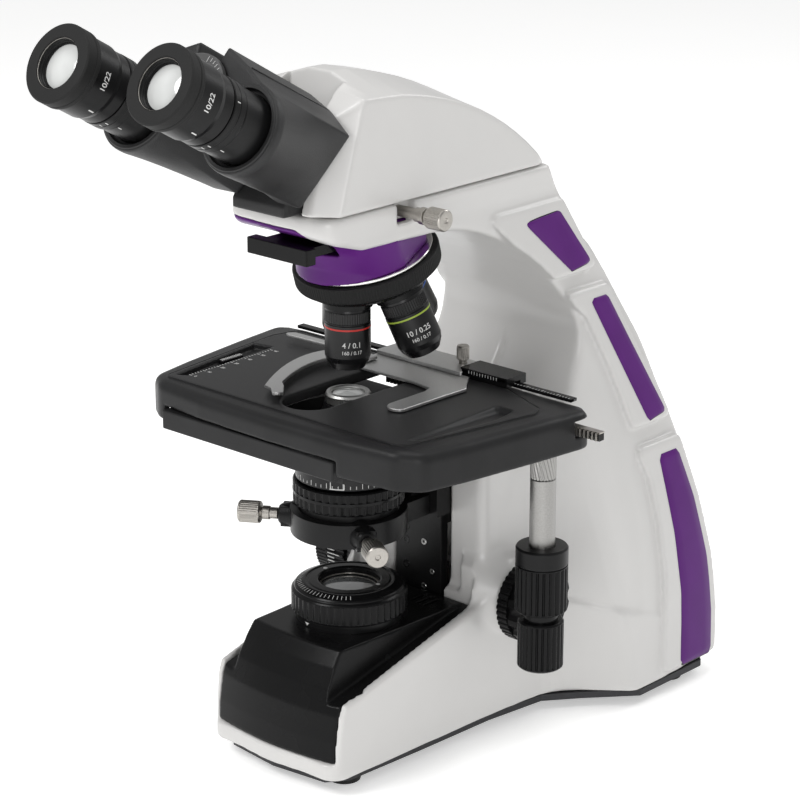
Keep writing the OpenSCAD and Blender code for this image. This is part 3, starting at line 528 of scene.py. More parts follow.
# ---------------------------------------------------------------- stand
# Side view of the arm, in (y, z): the back, and the ridge along the front of each side band.
BACK = [(208.5, 8), (212, 26), (213.5, 45), (213.5, 63), (212.5, 82), (209.5, 102), (205, 122),
        (199.5, 141), (193, 162), (185, 182), (176.5, 200), (167, 218), (156.5, 238), (146, 256),
        (135.5, 274), (125.5, 290), (116.5, PARTING_Z)]
RIDGE = bezier((26, 284), (105, 280), (148, 210), (154, 145), 18)[:-1] + bezier(
    (154, 145), (158, 90), (158, 60), (143, 8), 8)
NOSE = [(-57, PARTING_Z), (-57, 297), (-42, 290), (-25, 285)]
PADS = [
    [(64, 285), (85, 266), (111, 243.5), (149, 243.5), (127, 285)],
    [(117, 234.5), (133, 219), (145, 191), (157, 152.5), (192, 152.5), (155, 234.5)],
    [(157, 142), (164, 124), (166.5, 100), (166, 71), (162, 39), (159, 13), (207.5, 13), (210, 38),
     (210, 71), (205, 106), (196, 142)],
]
INLAYS = [
    [(92.5, 277.5), (122, 279), (142.5, 248), (125, 246)],
    [(137, 228.5), (151.5, 228.5), (186, 157), (170, 155)],
    [(174, 135), (191, 135), (199, 106), (204, 71), (204, 38), (202, 14), (174, 14), (178, 56),
     (178, 90)],
]
PAD_RISE = 4.0
FILTER_SLOT = (-17, 17), (-80, 20), (278.8, 288.6)
WIDTHS = bezier((9, 92), (60, 88), (63, 86), (70, 85), 4)[:-1] + bezier(
    (70, 85), (125, 76), (215, 51), (290, 38), 16) + [(306, 38)]


def half_width(z):
    """Half the width of the stand, over the raised pads, at a height."""
    return np.interp(z, [w[0] for w in WIDTHS], [w[1] for w in WIDTHS])


def nose_outline(grow=0.0):
    """Plan of the nose of the arm, which widens to the rear."""
    half = 38 + grow
    return ([(0, -54 - grow)] + arc(half - 14, -38, 14 + grow * 0.3, -78, 0, 8)
            + [(half + 1, 20), (150, 60), (150, 240), (-150, 240), (-150, 60), (-half - 1, 20)]
            + arc(-half + 14, -38, 14 + grow * 0.3, 180, 258, 8))


def purple_front(X):
    """Height of the lower edge of the white rim round the front of the nose."""
    side = np.clip((X - 12) / 22, 0, 1)
    return 297 - 16 * side * side * (3 - 2 * side)


def rim_end(X, Y, reach):
    """Where the purple front ends, further forward on the right."""
    return Y + reach + 8 * np.clip((X - 18) / 10, 0, 2)


def side_of_back(Y, Z):
    """Side view of all that lies in front of the back of the stand."""
    return poly(Y, Z, BACK + [(-70, PARTING_Z), (-70, 8)])


def casting_field(low, high, step):
    """The cast stand: arm, column, web and base, with raised pads, less all that is cut out."""
    X, Y, Z = grid(low, high, step)
    ax = np.abs(X)
    wide = half_width(Z).astype(np.float32)
    side = poly(Y, Z, BACK + NOSE + RIDGE)
    plan = poly(X, Y, nose_outline())
    skin = wide - PAD_RISE * np.clip((302 - Z) / 34, 0, 1)
    arm = smax(smax(side, ax - skin, 4), plan, 4)
    # column, and the web that flares from it into the side bands
    column = smax(poly(ax, Y, [(-1, 58)] + arc(38, 65, 7, -90, 0, 5) + [(50, 97), (60, 170), (-1, 170)]),
                  poly(Y, Z, [(50, 8), (50, 147), (64, 152.5), (80, 152.5), (160, 152.5), (160, 8)]), 2.5)
    flare = [(-1, 70), (45, 70), (51, 98)] + bezier((51, 98), (57, 119), (78, 125), (93, 144), 10) + [
        (94, 175), (-1, 175)]
    web = smax(poly(ax, Y, flare),
               poly(Y, Z, [(64, 8), (72, 120)] + bezier((80, 146), (104, 162), (128, 190), (147, 250), 8)
                    + [(176, 250), (176, 8)]), 5)
    web = smax(smax(web, ax - (skin - 1), 6), side_of_back(Y, Z) + 5, 5)
    body = smin(arm, smin(web, column, 5), 16)
    body = smax(body, ax - skin, 2.5)
    # base block with side walls round the lamp cover
    foot = [(-5, -63), (6, -62.6), (24, -60.6)] + arc(36.5, -50.5, 10, -82, 2, 6) + [
        (48, 8), (49.5, 58), (52, 97)] + bezier((52, 97), (58, 118), (78, 124), (93, 143), 8) + [
        (93, 165), (-5, 165)]
    walls = poly(Y, Z, [(-70, 8), (-70, 18.4), (-57.6, 18.4), (-56.6, 30), (-54.2, 44), (-51.4, 50.6),
                        (49, 76.2), (62, 81), (120, 60), (165, 45), (165, 8)])
    base = smax(smax(poly(ax, Y, foot), walls, 2.2), ax - skin + 0.5, 3)
    body = smin(body, base, 4)
    for outline in PADS:
        pad = smax(poly(Y, Z, rounded(outline, 5)), side, 0)
        pad = smax(pad, ax - wide, 2.4)
        body = smin(body, smax(pad, -(ax - wide + 9), 0), 1.0)
    body = smax(body, ax - wide, 0.6)
    body = smax(body, Z - PARTING_Z, 1.2)
    # low boss behind the drive knobs
    boss = off(Y, Z, FOCUS.y, FOCUS.z) - np.clip(26 - 0.65 * (ax - 40), 0, 26)
    boss = smax(smax(boss, ax - 56, 1.5), 32 - ax, 0)
    body = smin(body, boss, 5)
    # room for the lamp cover, the slide, the cavity and the slots
    body = cut(body, block(X, Y, Z, (-43.0, 43.0), (-80, 52.6), (18.6, 100)), 0.8)
    body = cut(body, block(X, Y, Z, (-20, 20), (30, 84), (40, 240)), 0.6)
    body = cut(body, block(X, Y, Z, (-54, 54), (122, 192), (-10, 58)), 1)
    body = cut(body, block(X, Y, Z, *FILTER_SLOT), 0.4)
    # the nose opens below for the nosepiece housing
    body = cut(body, smax(off(X, Y, 0, 6) - 31.2, Z - 294.5, 0), 0.6)
    front = smax(poly(X, Y, nose_outline(5)), rim_end(X, Y, 20), 0)
    body = cut(body, smax(front, Z - purple_front(X), 1.0), 0.8)
    # head seat and the notch of its clamp screw
    body = cut(body, smax(off(X, Y) - 30.05, (PARTING_Z - 9) - Z, 0), 0.5)
    notch = smax(np.abs(Y - 5) - 6.2, (PARTING_Z - 11) - Z, 2)
    body = cut(body, smax(notch, 31 - X, 0.5), 1.2)
    # drive shaft bore, ring seat, dial spindle and rear openings
    x, y, z = local(X, Y, Z, basis(FOCUS, (1, 0, 0)))
    body = cut(body, rod(x, y, z, 6.3, -80, 80), 0.4)
    body = cut(body, rod(x, y, z, 20, -80, -45.8), 0.8)
    x, y, z = local(X, Y, Z, basis(Vector((-50, -8, 30)), (1, 0, 0)))
    body = cut(body, rod(x, y, z, 3.4, -12, 9), 0.3)
    body = cut(body, block(X, Y, Z, (-14, 14), (186, 230), (22, 43)), 0.3)
    body = cut(body, block(X, Y, Z, (-16.8, 16.8), (205.8, 230), (19.2, 45.8)), 0.3)
    body = cut(body, block(X, Y, Z, (41, 56), (180, 230), (28, 48)), 0.5)
    return smax(body, 9.05 - Z, 1.5)


def stand():
    """The cast stand on the coarse grid."""
    low, high = (-96, -67, 6), (96, 216, 308)
    surface("stand_body", "root", casting_field(low, high, COARSE), low, COARSE, "white",
            ["stand_casting"])


def inlay(index, side, grow=0.0, top=0.45, material="purple"):
    """A purple strip set into a raised pad, following its curved face; or, grown and lower, the dark ring
    round it, which is painted shade for its recess.
    """
    outline = np.array(rounded(INLAYS[index], 2.2, 4))
    middle = outline.mean(0)
    span = outline.max(0) - outline.min(0)
    outline = middle + (outline - middle) * (1 + 2 * grow / span)
    zs = np.linspace(outline[:, 1].min() + 0.02, outline[:, 1].max() - 0.02, 40)
    closed = np.vstack([outline, outline[:1]])
    rows = []
    for z in zs:
        hits = []
        for a, b in zip(closed[:-1], closed[1:]):
            if (a[1] - z) * (b[1] - z) < 0:
                hits.append(a[0] + (b[0] - a[0]) * (z - a[1]) / (b[1] - a[1]))
        rows.append((min(hits), max(hits), z))
    points, faces = [], []
    across = 5
    for lift in (-1.2, top):
        for y0, y1, z in rows:
            for k in range(across):
                edge = 0.35 if lift > 0 and (k in (0, across - 1) or z in (zs[0], zs[-1])) else 0
                x = half_width(z) + lift - edge
                points.append((side * x, y0 + (y1 - y0) * k / (across - 1), z))
    n = len(rows)
    for layer in range(2):
        for i in range(n - 1):
            for k in range(across - 1):
                a = layer * n * across + i * across + k
                faces.append((a, a + 1, a + across + 1, a + across))
    ring = list(range(across)) + [i * across + across - 1 for i in range(1, n)] + [
        (n - 1) * across + k for k in range(across - 2, -1, -1)] + [
        i * across for i in range(n - 2, 0, -1)]
    for i, a in enumerate(ring):
        b = ring[(i + 1) % len(ring)]
        faces.append((a, b, b + n * across, a + n * across))
    name = f"{'gap' if grow else 'inlay'}_{index + 1}_{'right' if side > 0 else 'left'}"
    obj = piece(name, points, faces, material, "root", ["purple_inlays"])
    tidy_mesh(obj)
    return weighted(obj)


def inlays():
    """The six purple strips, each on a dark ring that is painted shade for the recess round it."""
    for index in range(len(INLAYS)):
        for side in (1, -1):
            # a wider, lower black plate under each strip: painted shade standing in for the recess round it
            inlay(index, side, 0.55, 0.1, "black_satin")
            inlay(index, side)


def nosepiece_housing_piece():
    """The purple housing: the front of the nose, running down to the fixed ring."""
    low, high = (-40, -60, 255), (40, 54, 298)
    X, Y, Z = grid(low, high, FINE)
    side = poly(Y, Z, BACK + NOSE + RIDGE)
    skin = smax(smax(side, poly(X, Y, nose_outline()), 4), np.abs(X) - 38, 3)
    rim = smax(skin + 0.5, rim_end(X, Y, 19), 0.5)
    rim = smax(rim, Z - purple_front(X) + 0.4, 0.5)
    place = basis(APEX, NOSE_UP)
    x, y, z = local(X, Y, Z, place)
    shift = y + 1.5
    cone = np.sqrt(x * x + shift * shift) - (33.6 + 0.16 * (z + 46))
    sides = np.abs(X) - (31.5 - 0.28 * (Y - 14))
    bowl = smax(smax(cone, sides, 0.6), Z - 285.5, 0.5)
    body = smin(rim, bowl, 7)
    body = smin(body, smax(off(X, Y, 0, 6) - 30.6, Z - 294, 0), 0.3)
    body = smax(body, -46 - z + 0.15, 0.4)
    body = cut(body, block(X, Y, Z, *FILTER_SLOT), 0.4)
    body = cut(body, off(X, Y) - 12, 0.3)
    surface("nosepiece_shell", "root", body, low, FINE, "purple", ["nosepiece_housing"])


def lamp_cover_piece():
    """The black cover over the lamp: a bowed front that leans back, and sloping flanks."""
    low, high = (-44, -66, 14), (44, 56, 78)
    X, Y, Z = grid(low, high, FINE)
    ax = np.abs(X)
    bow = 4.6 * (1 - (ax / 42.5) ** 2)
    lean = np.interp(Z, [18, 30, 44, 56, 66, 74], [-57.2, -56.2, -53.6, -49.2, -43.8, -37.8])
    front = (lean - bow - Y) * 0.9
    shape = smax(smax(front, Z - 73.8, 1.0), ax - 42.6, 0.9)
    # the flanks stand on a shelf that rises to the rear beside the white rim
    flank = 0.994 * (ax - 32.0) - 0.036 * (Y + 37.7) + 0.102 * (Z - 74)
    shelf = (Z - (50.2 + (Y + 47) * 0.241)) * 0.97
    shape = smax(shape, smin(flank, shelf, 1.6), 0.7)
    shape = smax(smax(shape, Y - 52.2, 0.8), 18.7 - Z, 0.8)
    inner = smax(smax(shape + 3.2, Y - 47, 0), Z - 70, 0)
    shape = cut(shape, inner, 0.5)
    shape = cut(shape, off(X, Y) - 24, 0.3)
    for x in (11.5, 16.7, 21.9):
        slot = block(ax, Y, Z, (x - 1.0, x + 1.0), (35, 48), (60, 90))
        shape = cut(shape, slot, 0.4)
    surface("lamp_cover_shell", "root", shape, low, FINE, "cover", ["lamp_cover"])


# ---------------------------------------------------------------- head
def head_shell():
    """The white head: a ridged hood over the prism, with its male dovetail."""
    low, high = (-42, -68, 296), (42, 116, 375)
    X, Y, Z = grid(low, high, FINE)
    ax = np.abs(X)
    edge = [(-70, 305.5), (-64, 322), (-50, 330), (-40, 346), (-26, 361.5), (1, 360)] + bezier(
        (4, 359.5), (42, 354), (82, 338), (114, 305.5), 12)[1:]
    crest = [(-66, 305.5), (-60, 322), (-46, 349), (-24, 371), (-8, 370.5)] + bezier(
        (4, 368), (45, 359), (86, 340), (114, 305.5), 10)
    side = poly(Y, Z, edge)
    top = poly(Y, Z, crest)
    t = np.clip((38 - ax) / 30, 0, 1)
    shape = side * (1 - t) + top * t
    shape = smax(shape, ax - 38, 2.2)
    # wide bevel between the side and the front, which leans back like the rear of the housings
    lean = -43 + 0.3 * (Z - PARTING_Z)
    front = (lean - Y) * 0.78 + (ax - 38) * 0.62
    shape = smax(shape, front, 1.2)
    shape = smax(shape, np.where(ax < 18.8, lean + 4 - Y, lean - 10.3 - Y), 0.8)
    shape = smax(shape, poly(X, Y, [(-38, -80), (38, -80), (38, 106), (35, 114), (-35, 114),
                                    (-38, 106)]), 1)
    male = smax(off(X, Y) - 21, np.maximum(299 - Z, Z - 308), 0)
    shape = smin(shape, male, 0)
    inner = smax(smax(shape + 5, 311 - Z, 0), Y - 88, 0)
    shape = cut(shape, inner, 0.5)
    shape = cut(shape, np.maximum(off(X, Y) - 14, Z - 330), 0)
    x, y, z = local(X, Y, Z, basis(HINGE, TUBE_DOWN))
    shape = smax(shape, ARM_S1 + 0.8 - z, 0.5)
    shape = cut(shape, rod(x, y, z, 12.4, ARM_S1, 150), 0.3)
    surface("head_shell", "head", shape, low, FINE, "white", ["head_housing"])


# ---------------------------------------------------------------- marks and lettering
MARK_LIFT = 0.12
TEXT_LIFT = 0.1


def faceted(obj):
    """Flat shading, for small marks and teeth."""
    obj.data.polygons.foreach_set("use_smooth", [False] * len(obj.data.polygons))
    return obj


def boxes(name, body, place, spans, material):
    """Many small blocks in one piece; each span is (x0, x1, y0, y1, z0, z1)."""
    points, faces = [], []
    for x0, x1, y0, y1, z0, z1 in spans:
        base = len(points)
        points += [tuple(place @ Vector((x, y, z))) for z in (z0, z1) for y in (y0, y1) for x in (x0, x1)]
        faces += [[base + i for i in f] for f in ((0, 2, 3, 1), (4, 5, 7, 6), (0, 1, 5, 4),
                                                  (2, 6, 7, 3), (0, 4, 6, 2), (1, 3, 7, 5))]
    return faceted(piece(name, points, faces, material, body))


def ring_marks(name, body, place, marks):
    """Short strokes on a drum; each mark is (angle, width, radius, z0, z1), angles in degrees."""
    points, faces = [], []
    for angle, width, r, z0, z1 in marks:
        base = len(points)
        half = width / r / 2
        a = math.radians(angle)
        for rr in (r - 0.4, r + MARK_LIFT):
            for z in (z0, z1):
                for t in (a - half, a + half):
                    points.append(tuple(place @ Vector((rr * math.cos(t), rr * math.sin(t), z))))
        faces += [[base + i for i in f] for f in ((0, 1, 3, 2), (4, 6, 7, 5), (0, 4, 5, 1),
                                                  (2, 3, 7, 6), (0, 2, 6, 4), (1, 5, 7, 3))]
    return faceted(piece(name, points, faces, "mark", body))


def lettering(name, body, text, size, mapper):
    """Generic numbers, set in the plain built-in face and laid on a surface by mapper(u, v)."""
    curve = bpy.data.curves.new(name + "_outline", "FONT")
    curve.body = text
    curve.size = size
    curve.align_x = "CENTER"
    curve.align_y = "CENTER"
    curve.resolution_u = 3
    curve.offset = 0.012 * size
    temp = place_in_scene(name + "_outline", curve)
    mesh = bpy.data.meshes.new_from_object(temp.evaluated_get(bpy.context.evaluated_depsgraph_get()))
    points = [mapper(v.co.x, v.co.y) for v in mesh.vertices]
    faces = [list(f.vertices) for f in mesh.polygons]
    bpy.data.objects.remove(temp)
    bpy.data.meshes.remove(mesh)
    bpy.data.curves.remove(curve)
    return piece(name, points, faces, "mark", body)


def on_drum(place, r, angle, z, up=1.0):
    """Maps text to a drum: u runs round it, v along its axis."""
    a0 = math.radians(angle)
    out = r + TEXT_LIFT

    def mapper(u, v):
        a = a0 + up * u / r
        return tuple(place @ Vector((out * math.cos(a), out * math.sin(a), z + up * v)))
    return mapper


def on_plane(x, y, z):
    """Maps text to a level plane."""
    return lambda u, v: (x + u, y + v, z)


def wire(name, body, points, r, material, closed=False):
    """A thin round line through points, six-sided."""
    pts = [np.array(p, float) for p in points]
    n = len(pts)
    out, faces = [], []
    for i, p in enumerate(pts):
        a = pts[i - 1] if (i > 0 or closed) else p
        b = pts[(i + 1) % n] if (i < n - 1 or closed) else p
        d = (b - a) / np.linalg.norm(b - a)
        ref = np.array([0, 0, 1.0]) if abs(d[2]) < 0.9 else np.array([1.0, 0, 0])
        u = np.cross(d, ref)
        u /= np.linalg.norm(u)
        w = np.cross(d, u)
        out += [tuple(p + r * (math.cos(t) * u + math.sin(t) * w)) for t in (k * TAU / 6 for k in range(6))]
    for i in range(n if closed else n - 1):
        k = (i + 1) % n
        faces += [(i * 6 + j, i * 6 + (j + 1) % 6, k * 6 + (j + 1) % 6, k * 6 + j) for j in range(6)]
    if not closed:
        faces += [tuple(range(6)), tuple((n - 1) * 6 + j for j in range(5, -1, -1))]
    return piece(name, out, faces, material, body)


def ribs(count, depth, z0, z1, r0=0.0, power=1.0):
    """Axial ribs cut into the rim of a turned part between two heights."""
    def ripple(angle, r, z):
        wave = (0.5 + 0.5 * np.cos(count * angle)) ** power
        return np.where((z > z0) & (z < z1) & (r > r0), -depth * wave, 0.0)
    ripple.levels = (z0 - 0.02, z0 + 0.35, z1 - 0.35, z1 + 0.02)
    return ripple


WORLD = Matrix.Identity(4)


# ---------------------------------------------------------------- binocular
def housing(side, lobe):
    """One swinging arm, in the hinge frame: x outwards, y down, z down the tubes."""
    low, high = (-3, -31, 55), (61, 38, 124)
    X, Y, Z = grid(low, high, FINE)
    V = -Y
    around = off(X, V, EYE_X, -HINGE_DROP)
    front = smin(around - 23, poly(X, V, [(6, 12), (9.5, 25), (26, 17.8), (40, 9.6), (35, -12),
                                          (9, -14)]), 2)
    rear = poly(X, V, [(5, 12), (9.5, 25.5), (27, 18.8), (44, 8.7), (29.7, -31.3), (14, -31.3), (6, -14)])
    t = np.clip((Z - 62) / (ARM_S1 - 62), 0, 1)
    shape = front * (1 - t) + rear * t
    shape = smax(shape, np.maximum(ARM_S0 - Z, Z - ARM_S1), 1.4)
    cc, sc = math.cos(ARM_CLOSE), math.sin(ARM_CLOSE)
    co, so = math.cos(ARM_OPEN), math.sin(ARM_OPEN)
    shape = smax(shape, 0.5 - (X * cc + V * sc), 0.6)
    shape = smax(shape, 0.5 - (X * co - V * so), 0.6)
    hub = off(X, V)
    shape = smax(shape, LOBE_R + 0.6 - hub, 0.5)
    own = np.maximum(lobe[0] - Z, Z - lobe[1])
    shape = smin(shape, smax(np.maximum(hub - LOBE_R, 6.2 - hub), own, 0.4), 0)
    bridge = smax(smax(np.maximum(np.abs(X - 17) - 9, np.abs(V + 3) - 9), own, 0),
                  0.5 - (X * cc + V * sc), 0)
    shape = smin(shape, np.maximum(bridge, 6.2 - hub), 0)
    shape = cut(shape, np.maximum(around - 19.6, Z - 59.5), 0.5)
    shape = cut(shape, np.maximum(around - 17.6, Z - 64), 0.3)
    shape = cut(shape, np.maximum(around - 15.2, Z - 67), 0.3)
    name = "right" if side > 0 else "left"
    place = basis(HINGE, TUBE_DOWN)
    surface(name + "_housing", name + "_arm", shape, low, FINE, "black_grain",
            [name + "_tube_housing"], place=place, mirror=side < 0)
    # seam along the crest of the housing, and the ring round its mouth
    line = [(side * 26.4, -17.7, 60.0), (side * 26.8, -18.5, 118.0)]
    wire(name + "_housing_seam", name + "_arm", [tuple(place @ Vector(q)) for q in line], 0.42,
         "black_gloss")
    turned(name + "_housing_ring", name + "_arm", tube(side),
           [(19.7, 56.4), (21.5, 56.4), (21.9, 57.0), (21.9, 60.5), (19.7, 60.5)], "black_grain",
           soft=0.3, seg=120)


def binocular():
    """Both arms, the grey disc on their hinge, and the neck behind them."""
    housing(1, (ARM_S0, ARM_MID - 0.3))
    housing(-1, (ARM_MID, ARM_S1))
    place = basis(HINGE, TUBE_DOWN)
    turned("hinge_disc", "head", place,
           [(0, 53.4), (18.4, 53.4), (19.1, 54.0), (19.1, 56.5), (0, 56.5)], "grey", ["hinge_cap"],
           soft=0.25, seg=128)
    for i, (angle, long) in enumerate(((-78, 3), (-70, 2), (-62, 2), (-54, 3), (-46, 2))):
        spot = place @ Matrix.Rotation(math.radians(angle), 4, "Z")
        boxes(f"hinge_disc_mark_{i + 1}", "head", spot, [(18.2 - long, 18.2, -0.13, 0.13, 53.3, 53.6)],
              "mark")
    # fixed neck between the arms and the head
    low, high = (-27, -72, 303), (27, -30, 364)
    X, Y, Z = grid(low, high, FINE)
    z = local(X, Y, Z, place)[2]
    neck = smax(np.abs(X) - 18.0, Y + 39.6, 0.6)
    neck = smax(neck, np.maximum(ARM_S1 + 0.6 - z, -63.5 - Y), 0.6)
    neck = smax(neck, (PARTING_Z + 0.6) - Z, 0.8)
    neck = smax(neck, Z - 352 + 0.4 * np.abs(X), 0.8)
    surface("binocular_neck", "head", neck, low, FINE, "black_grain", ["binocular_body"])
    turned("hinge_shaft", "head", place, [(0, ARM_S0 - 0.4), (5.9, ARM_S0 - 0.4), (5.9, ARM_S1 + 0.5),
                                          (11.9, ARM_S1 + 0.5), (11.9, ARM_S1 + 19), (0, ARM_S1 + 19)],
           "steel", seg=48)


def eyepieces():
    """Eyepieces, eye tubes and diopter rings on both sides."""
    for side, name in ((1, "right"), (-1, "left")):
        place = tube(side)
        oc = name + "_ocular"
        # rubber rim with a fine groove round its skirt
        turned(name + "_eye_rim", oc, place,
               [(12.9, 0.3), (13.4, 0), (19.2, 0), (20, 0.8), (20, 5.6), (19.6, 5.9), (19.6, 6.3),
                (20, 6.6), (20, 8.6), (19.5, 9.2), (15, 9.2), (15, 3.4), (12.9, 2.6)], "rubber",
                soft=0.3, seg=128)
        turned(name + "_eye_barrel", oc, place,
               [(14, 3.0), (15, 9.0), (18.8, 9.0), (18.9, 9.4), (18.9, 22.6), (18.0, 25.4), (18.0, 31.7),
                (15, 31.7), (14.96, 57), (13, 57), (13, 3.0)], "black_satin", [name + "_eyepiece"],
               soft=0.35, seg=128)
        # threaded inner rings step down to the lens
        turned(name + "_lens_mount", oc, place,
               [(12.9, 0.5), (13.0, 5.6), (11.2, 5.6), (11.2, 4.9), (11.9, 4.6), (11.9, 3.6), (12.3, 3.3),
                (12.3, 2.2), (12.7, 1.9), (12.7, 0.5)], "black_gloss", soft=0.12, seg=128)
        turned(name + "_lens_ring", oc, place,
               [(12.55, 0.75), (12.95, 0.55), (13.15, 0.85), (12.7, 1.2)], "nickel", soft=0.08, seg=128)
        dome = [(r, 5.2 - 1.6 * (1 - (r / 11.6) ** 2)) for r in (0, 3, 6, 8.5, 10.2, 11.6)]
        turned(name + "_lens_glass", oc, place, dome + [(11.6, 6.8), (0, 6.8)], "lens",
               [name + "_eye_lens"], soft=0.1, seg=96)
        turned(name + "_tube", name + "_arm", place,
               [(15.1, 41.2), (17.0, 41.2), (17.5, 41.8), (17.5, 61), (15.1, 61)], "black_satin",
               [name + "_eye_tube"], seg=128)
        turned(name + "_tube_neck", name + "_arm", place,
               [(15.1, 32.3), (16.3, 32.3), (16.3, 41.4), (15.1, 41.4)], "black_gloss", seg=96)
        turned(name + "_diopter", name + "_diopter", place,
               [(16.45, 32.5), (17.9, 32.5), (18.2, 33), (18.2, 36.0), (17.95, 36.3), (17.95, 36.6),
                (18.2, 36.9), (18.2, 40.2), (17.7, 40.7), (16.45, 40.7)], "black_satin",
               [name + "_diopter_ring"], soft=0.2, seg=128)
        ring_marks(name + "_eyepiece_mark", oc, place, [(52, 0.7, 18.9, 18.4, 21.6)])
        ring_marks(name + "_diopter_marks", name + "_diopter", place,
                   [(a, 0.45, 18.2, 33.8, 35.8) for a in (-22, 62, 74)])
        ring_marks(name + "_tube_mark", name + "_arm", place, [(60, 0.45, 17.5, 42.2, 44.6)])
        lettering(name + "_eyepiece_value", oc, "10/22", 4.4, on_drum(place, 18.9, 2, 16.0, -1.0))


# ---------------------------------------------------------------- nosepiece and objectives
def objective_place(index):
    """On the turret cone, z runs up along the objective."""
    return (Matrix.Translation(APEX) @ Matrix.Rotation(NOSE_TILT, 4, "X")
            @ Matrix.Rotation(math.radians(90 * index), 4, "Z") @ Matrix.Rotation(-NOSE_TILT, 4, "X")
            @ Matrix.Translation((0, 0, -CONE_L)))


def objective(node, index, length, tip, nose, band, value, angle):
    """One objective with its knurl, colour band, front lens and numbers."""
    place = objective_place(index)
    step = length - nose
    turned(node + "_barrel", "turret", place,
           [(4, 0.2), (10.0, 0.2), (11.3, 0), (11.4, -1.7), (11.9, -2.1), (11.9, -7.6), (11.5, -7.9),
            (11.5, -8.4), (12, -8.7), (12, -step + 1.6), (11.2, -step - 1.2), (tip + 1.4, -step - 5.2),
            (tip + 0.4, -step - 5.6), (tip, -length + 0.7), (tip - 0.6, -length), (3.0, -length),
            (3.0, -length + 2.2), (4.0, -length + 2.6)],
           "objective", [node], ripple=ribs(56, 0.32, -7.7, -2.0, 11.6, 0.7), seg=448, soft=0.3)
    turned(node + "_band", "turret", place,
           [(11.6, -10.0), (12.12, -10.1), (12.12, -11.0), (11.6, -11.1)], band, seg=128, soft=0.1)
    turned(node + "_front_lens", "turret", place,
           [(0, -length + 1.2), (2.95, -length + 0.9), (2.95, -length + 2.4), (0, -length + 2.4)],
           "dark_glass", seg=48, soft=0.1)
    lettering(node + "_value", "turret", value[0], 4.0, on_drum(place, 12, angle, -18.6))
    lettering(node + "_value_2", "turret", value[1], 2.7, on_drum(place, 12, angle, -22.6))


def nosepiece():
    """The turret with four objectives, the bright ring above it, and the filter slider."""
    place = basis(APEX, NOSE_UP)
    turned("grip_ring", "turret", place,
           [(35.0, -56.6), (37.8, -56.6), (38.6, -55.9), (38.6, -48.8), (37.9, -48.1), (35.0, -48.1)],
           "rubber", ["turret_grip"], ripple=ribs(150, 0.42, -56.0, -48.7, 38.0, 0.6), seg=900, soft=0.25)
    turned("bright_ring", "root", place,
           [(30, -47.6), (35.4, -47.6), (35.7, -47.3), (35.7, -46.1), (35.4, -45.8), (30, -45.8)],
           "chrome", ["nosepiece_ring"], seg=160, soft=0.2)
    turned("turret_underside", "turret", place,
           [(8, -56.9), (35.2, -56.9), (36.4, -57.2), (36.2, -58.0), (33.6, -60.4), (27, -62.2), (8, -63)],
           "black_gloss", seg=128, soft=0.5)
    for node, index, length, tip, nose, band, value, angle in (
            ("objective_4x", 0, 33, 7.4, 5.5, "red", ("4 / 0.1", "160 / 0.17"), -36),
            ("objective_10x", 1, 33, 7.2, 5.5, "lime", ("10 / 0.25", "160 / 0.17"), -122),
            ("objective_40x", 2, 41, 4.5, 11, "blue", ("40 / 0.65", "160 / 0.17"), 90),
            ("objective_100x", 3, 41.5, 4.0, 12, "mark", ("100 / 1.25", "160 / 0.17"), 180)):
        objective(node, index, length, tip, nose, band, value, angle)
    # filter slider: a bar in front and a thin plate that runs into the nose
    slab("filter_bar", "filter", WORLD,
         rounded(rectangle(-21, 21, -51, -44.2), 0.8), 279.2, 287.6,
         "black_plastic", 0.5, ["filter_slider"])
    slab("filter_plate", "filter", WORLD, rounded(rectangle(-16, 16, -45, 15), 1.0),
         281.2, 286.6, "black_plastic", 0.3)


# ---------------------------------------------------------------- stage
STAGE_PLAN = [(-5, -61.5), (50, -60), (84, -56.5), (96.5, -48), (102, -22), (109, 24), (112.5, 54),
              (112, 60), (105, 65), (-5, 65.5)]
PANEL = rounded([(-86, -49.5), (83, -50.5), (98.5, 34), (95, 41.5), (60, 56), (-92, 56), (-96, 40)],
                [5, 9, 9, 6, 4, 4, 8])
WINDOW = [(-82.6, -43.8), (-77.0, -40.2), (-80.4, 16), (-80.6, 24.6), (-92.2, 22.4)]
SCOOP = [(77.2, -41), (75.6, 30.5), (87.5, 31), (90.5, 14), (84.0, -36)]
# underside of the top, open to the rear, so that the fixed plate and its rack run clear
HOLLOW = [(-5, -57), (50, -55.5), (80, -52.5), (91, -45), (97.5, -21), (104.5, 24), (107.5, 54),
          (107.5, 80), (-5, 80)]


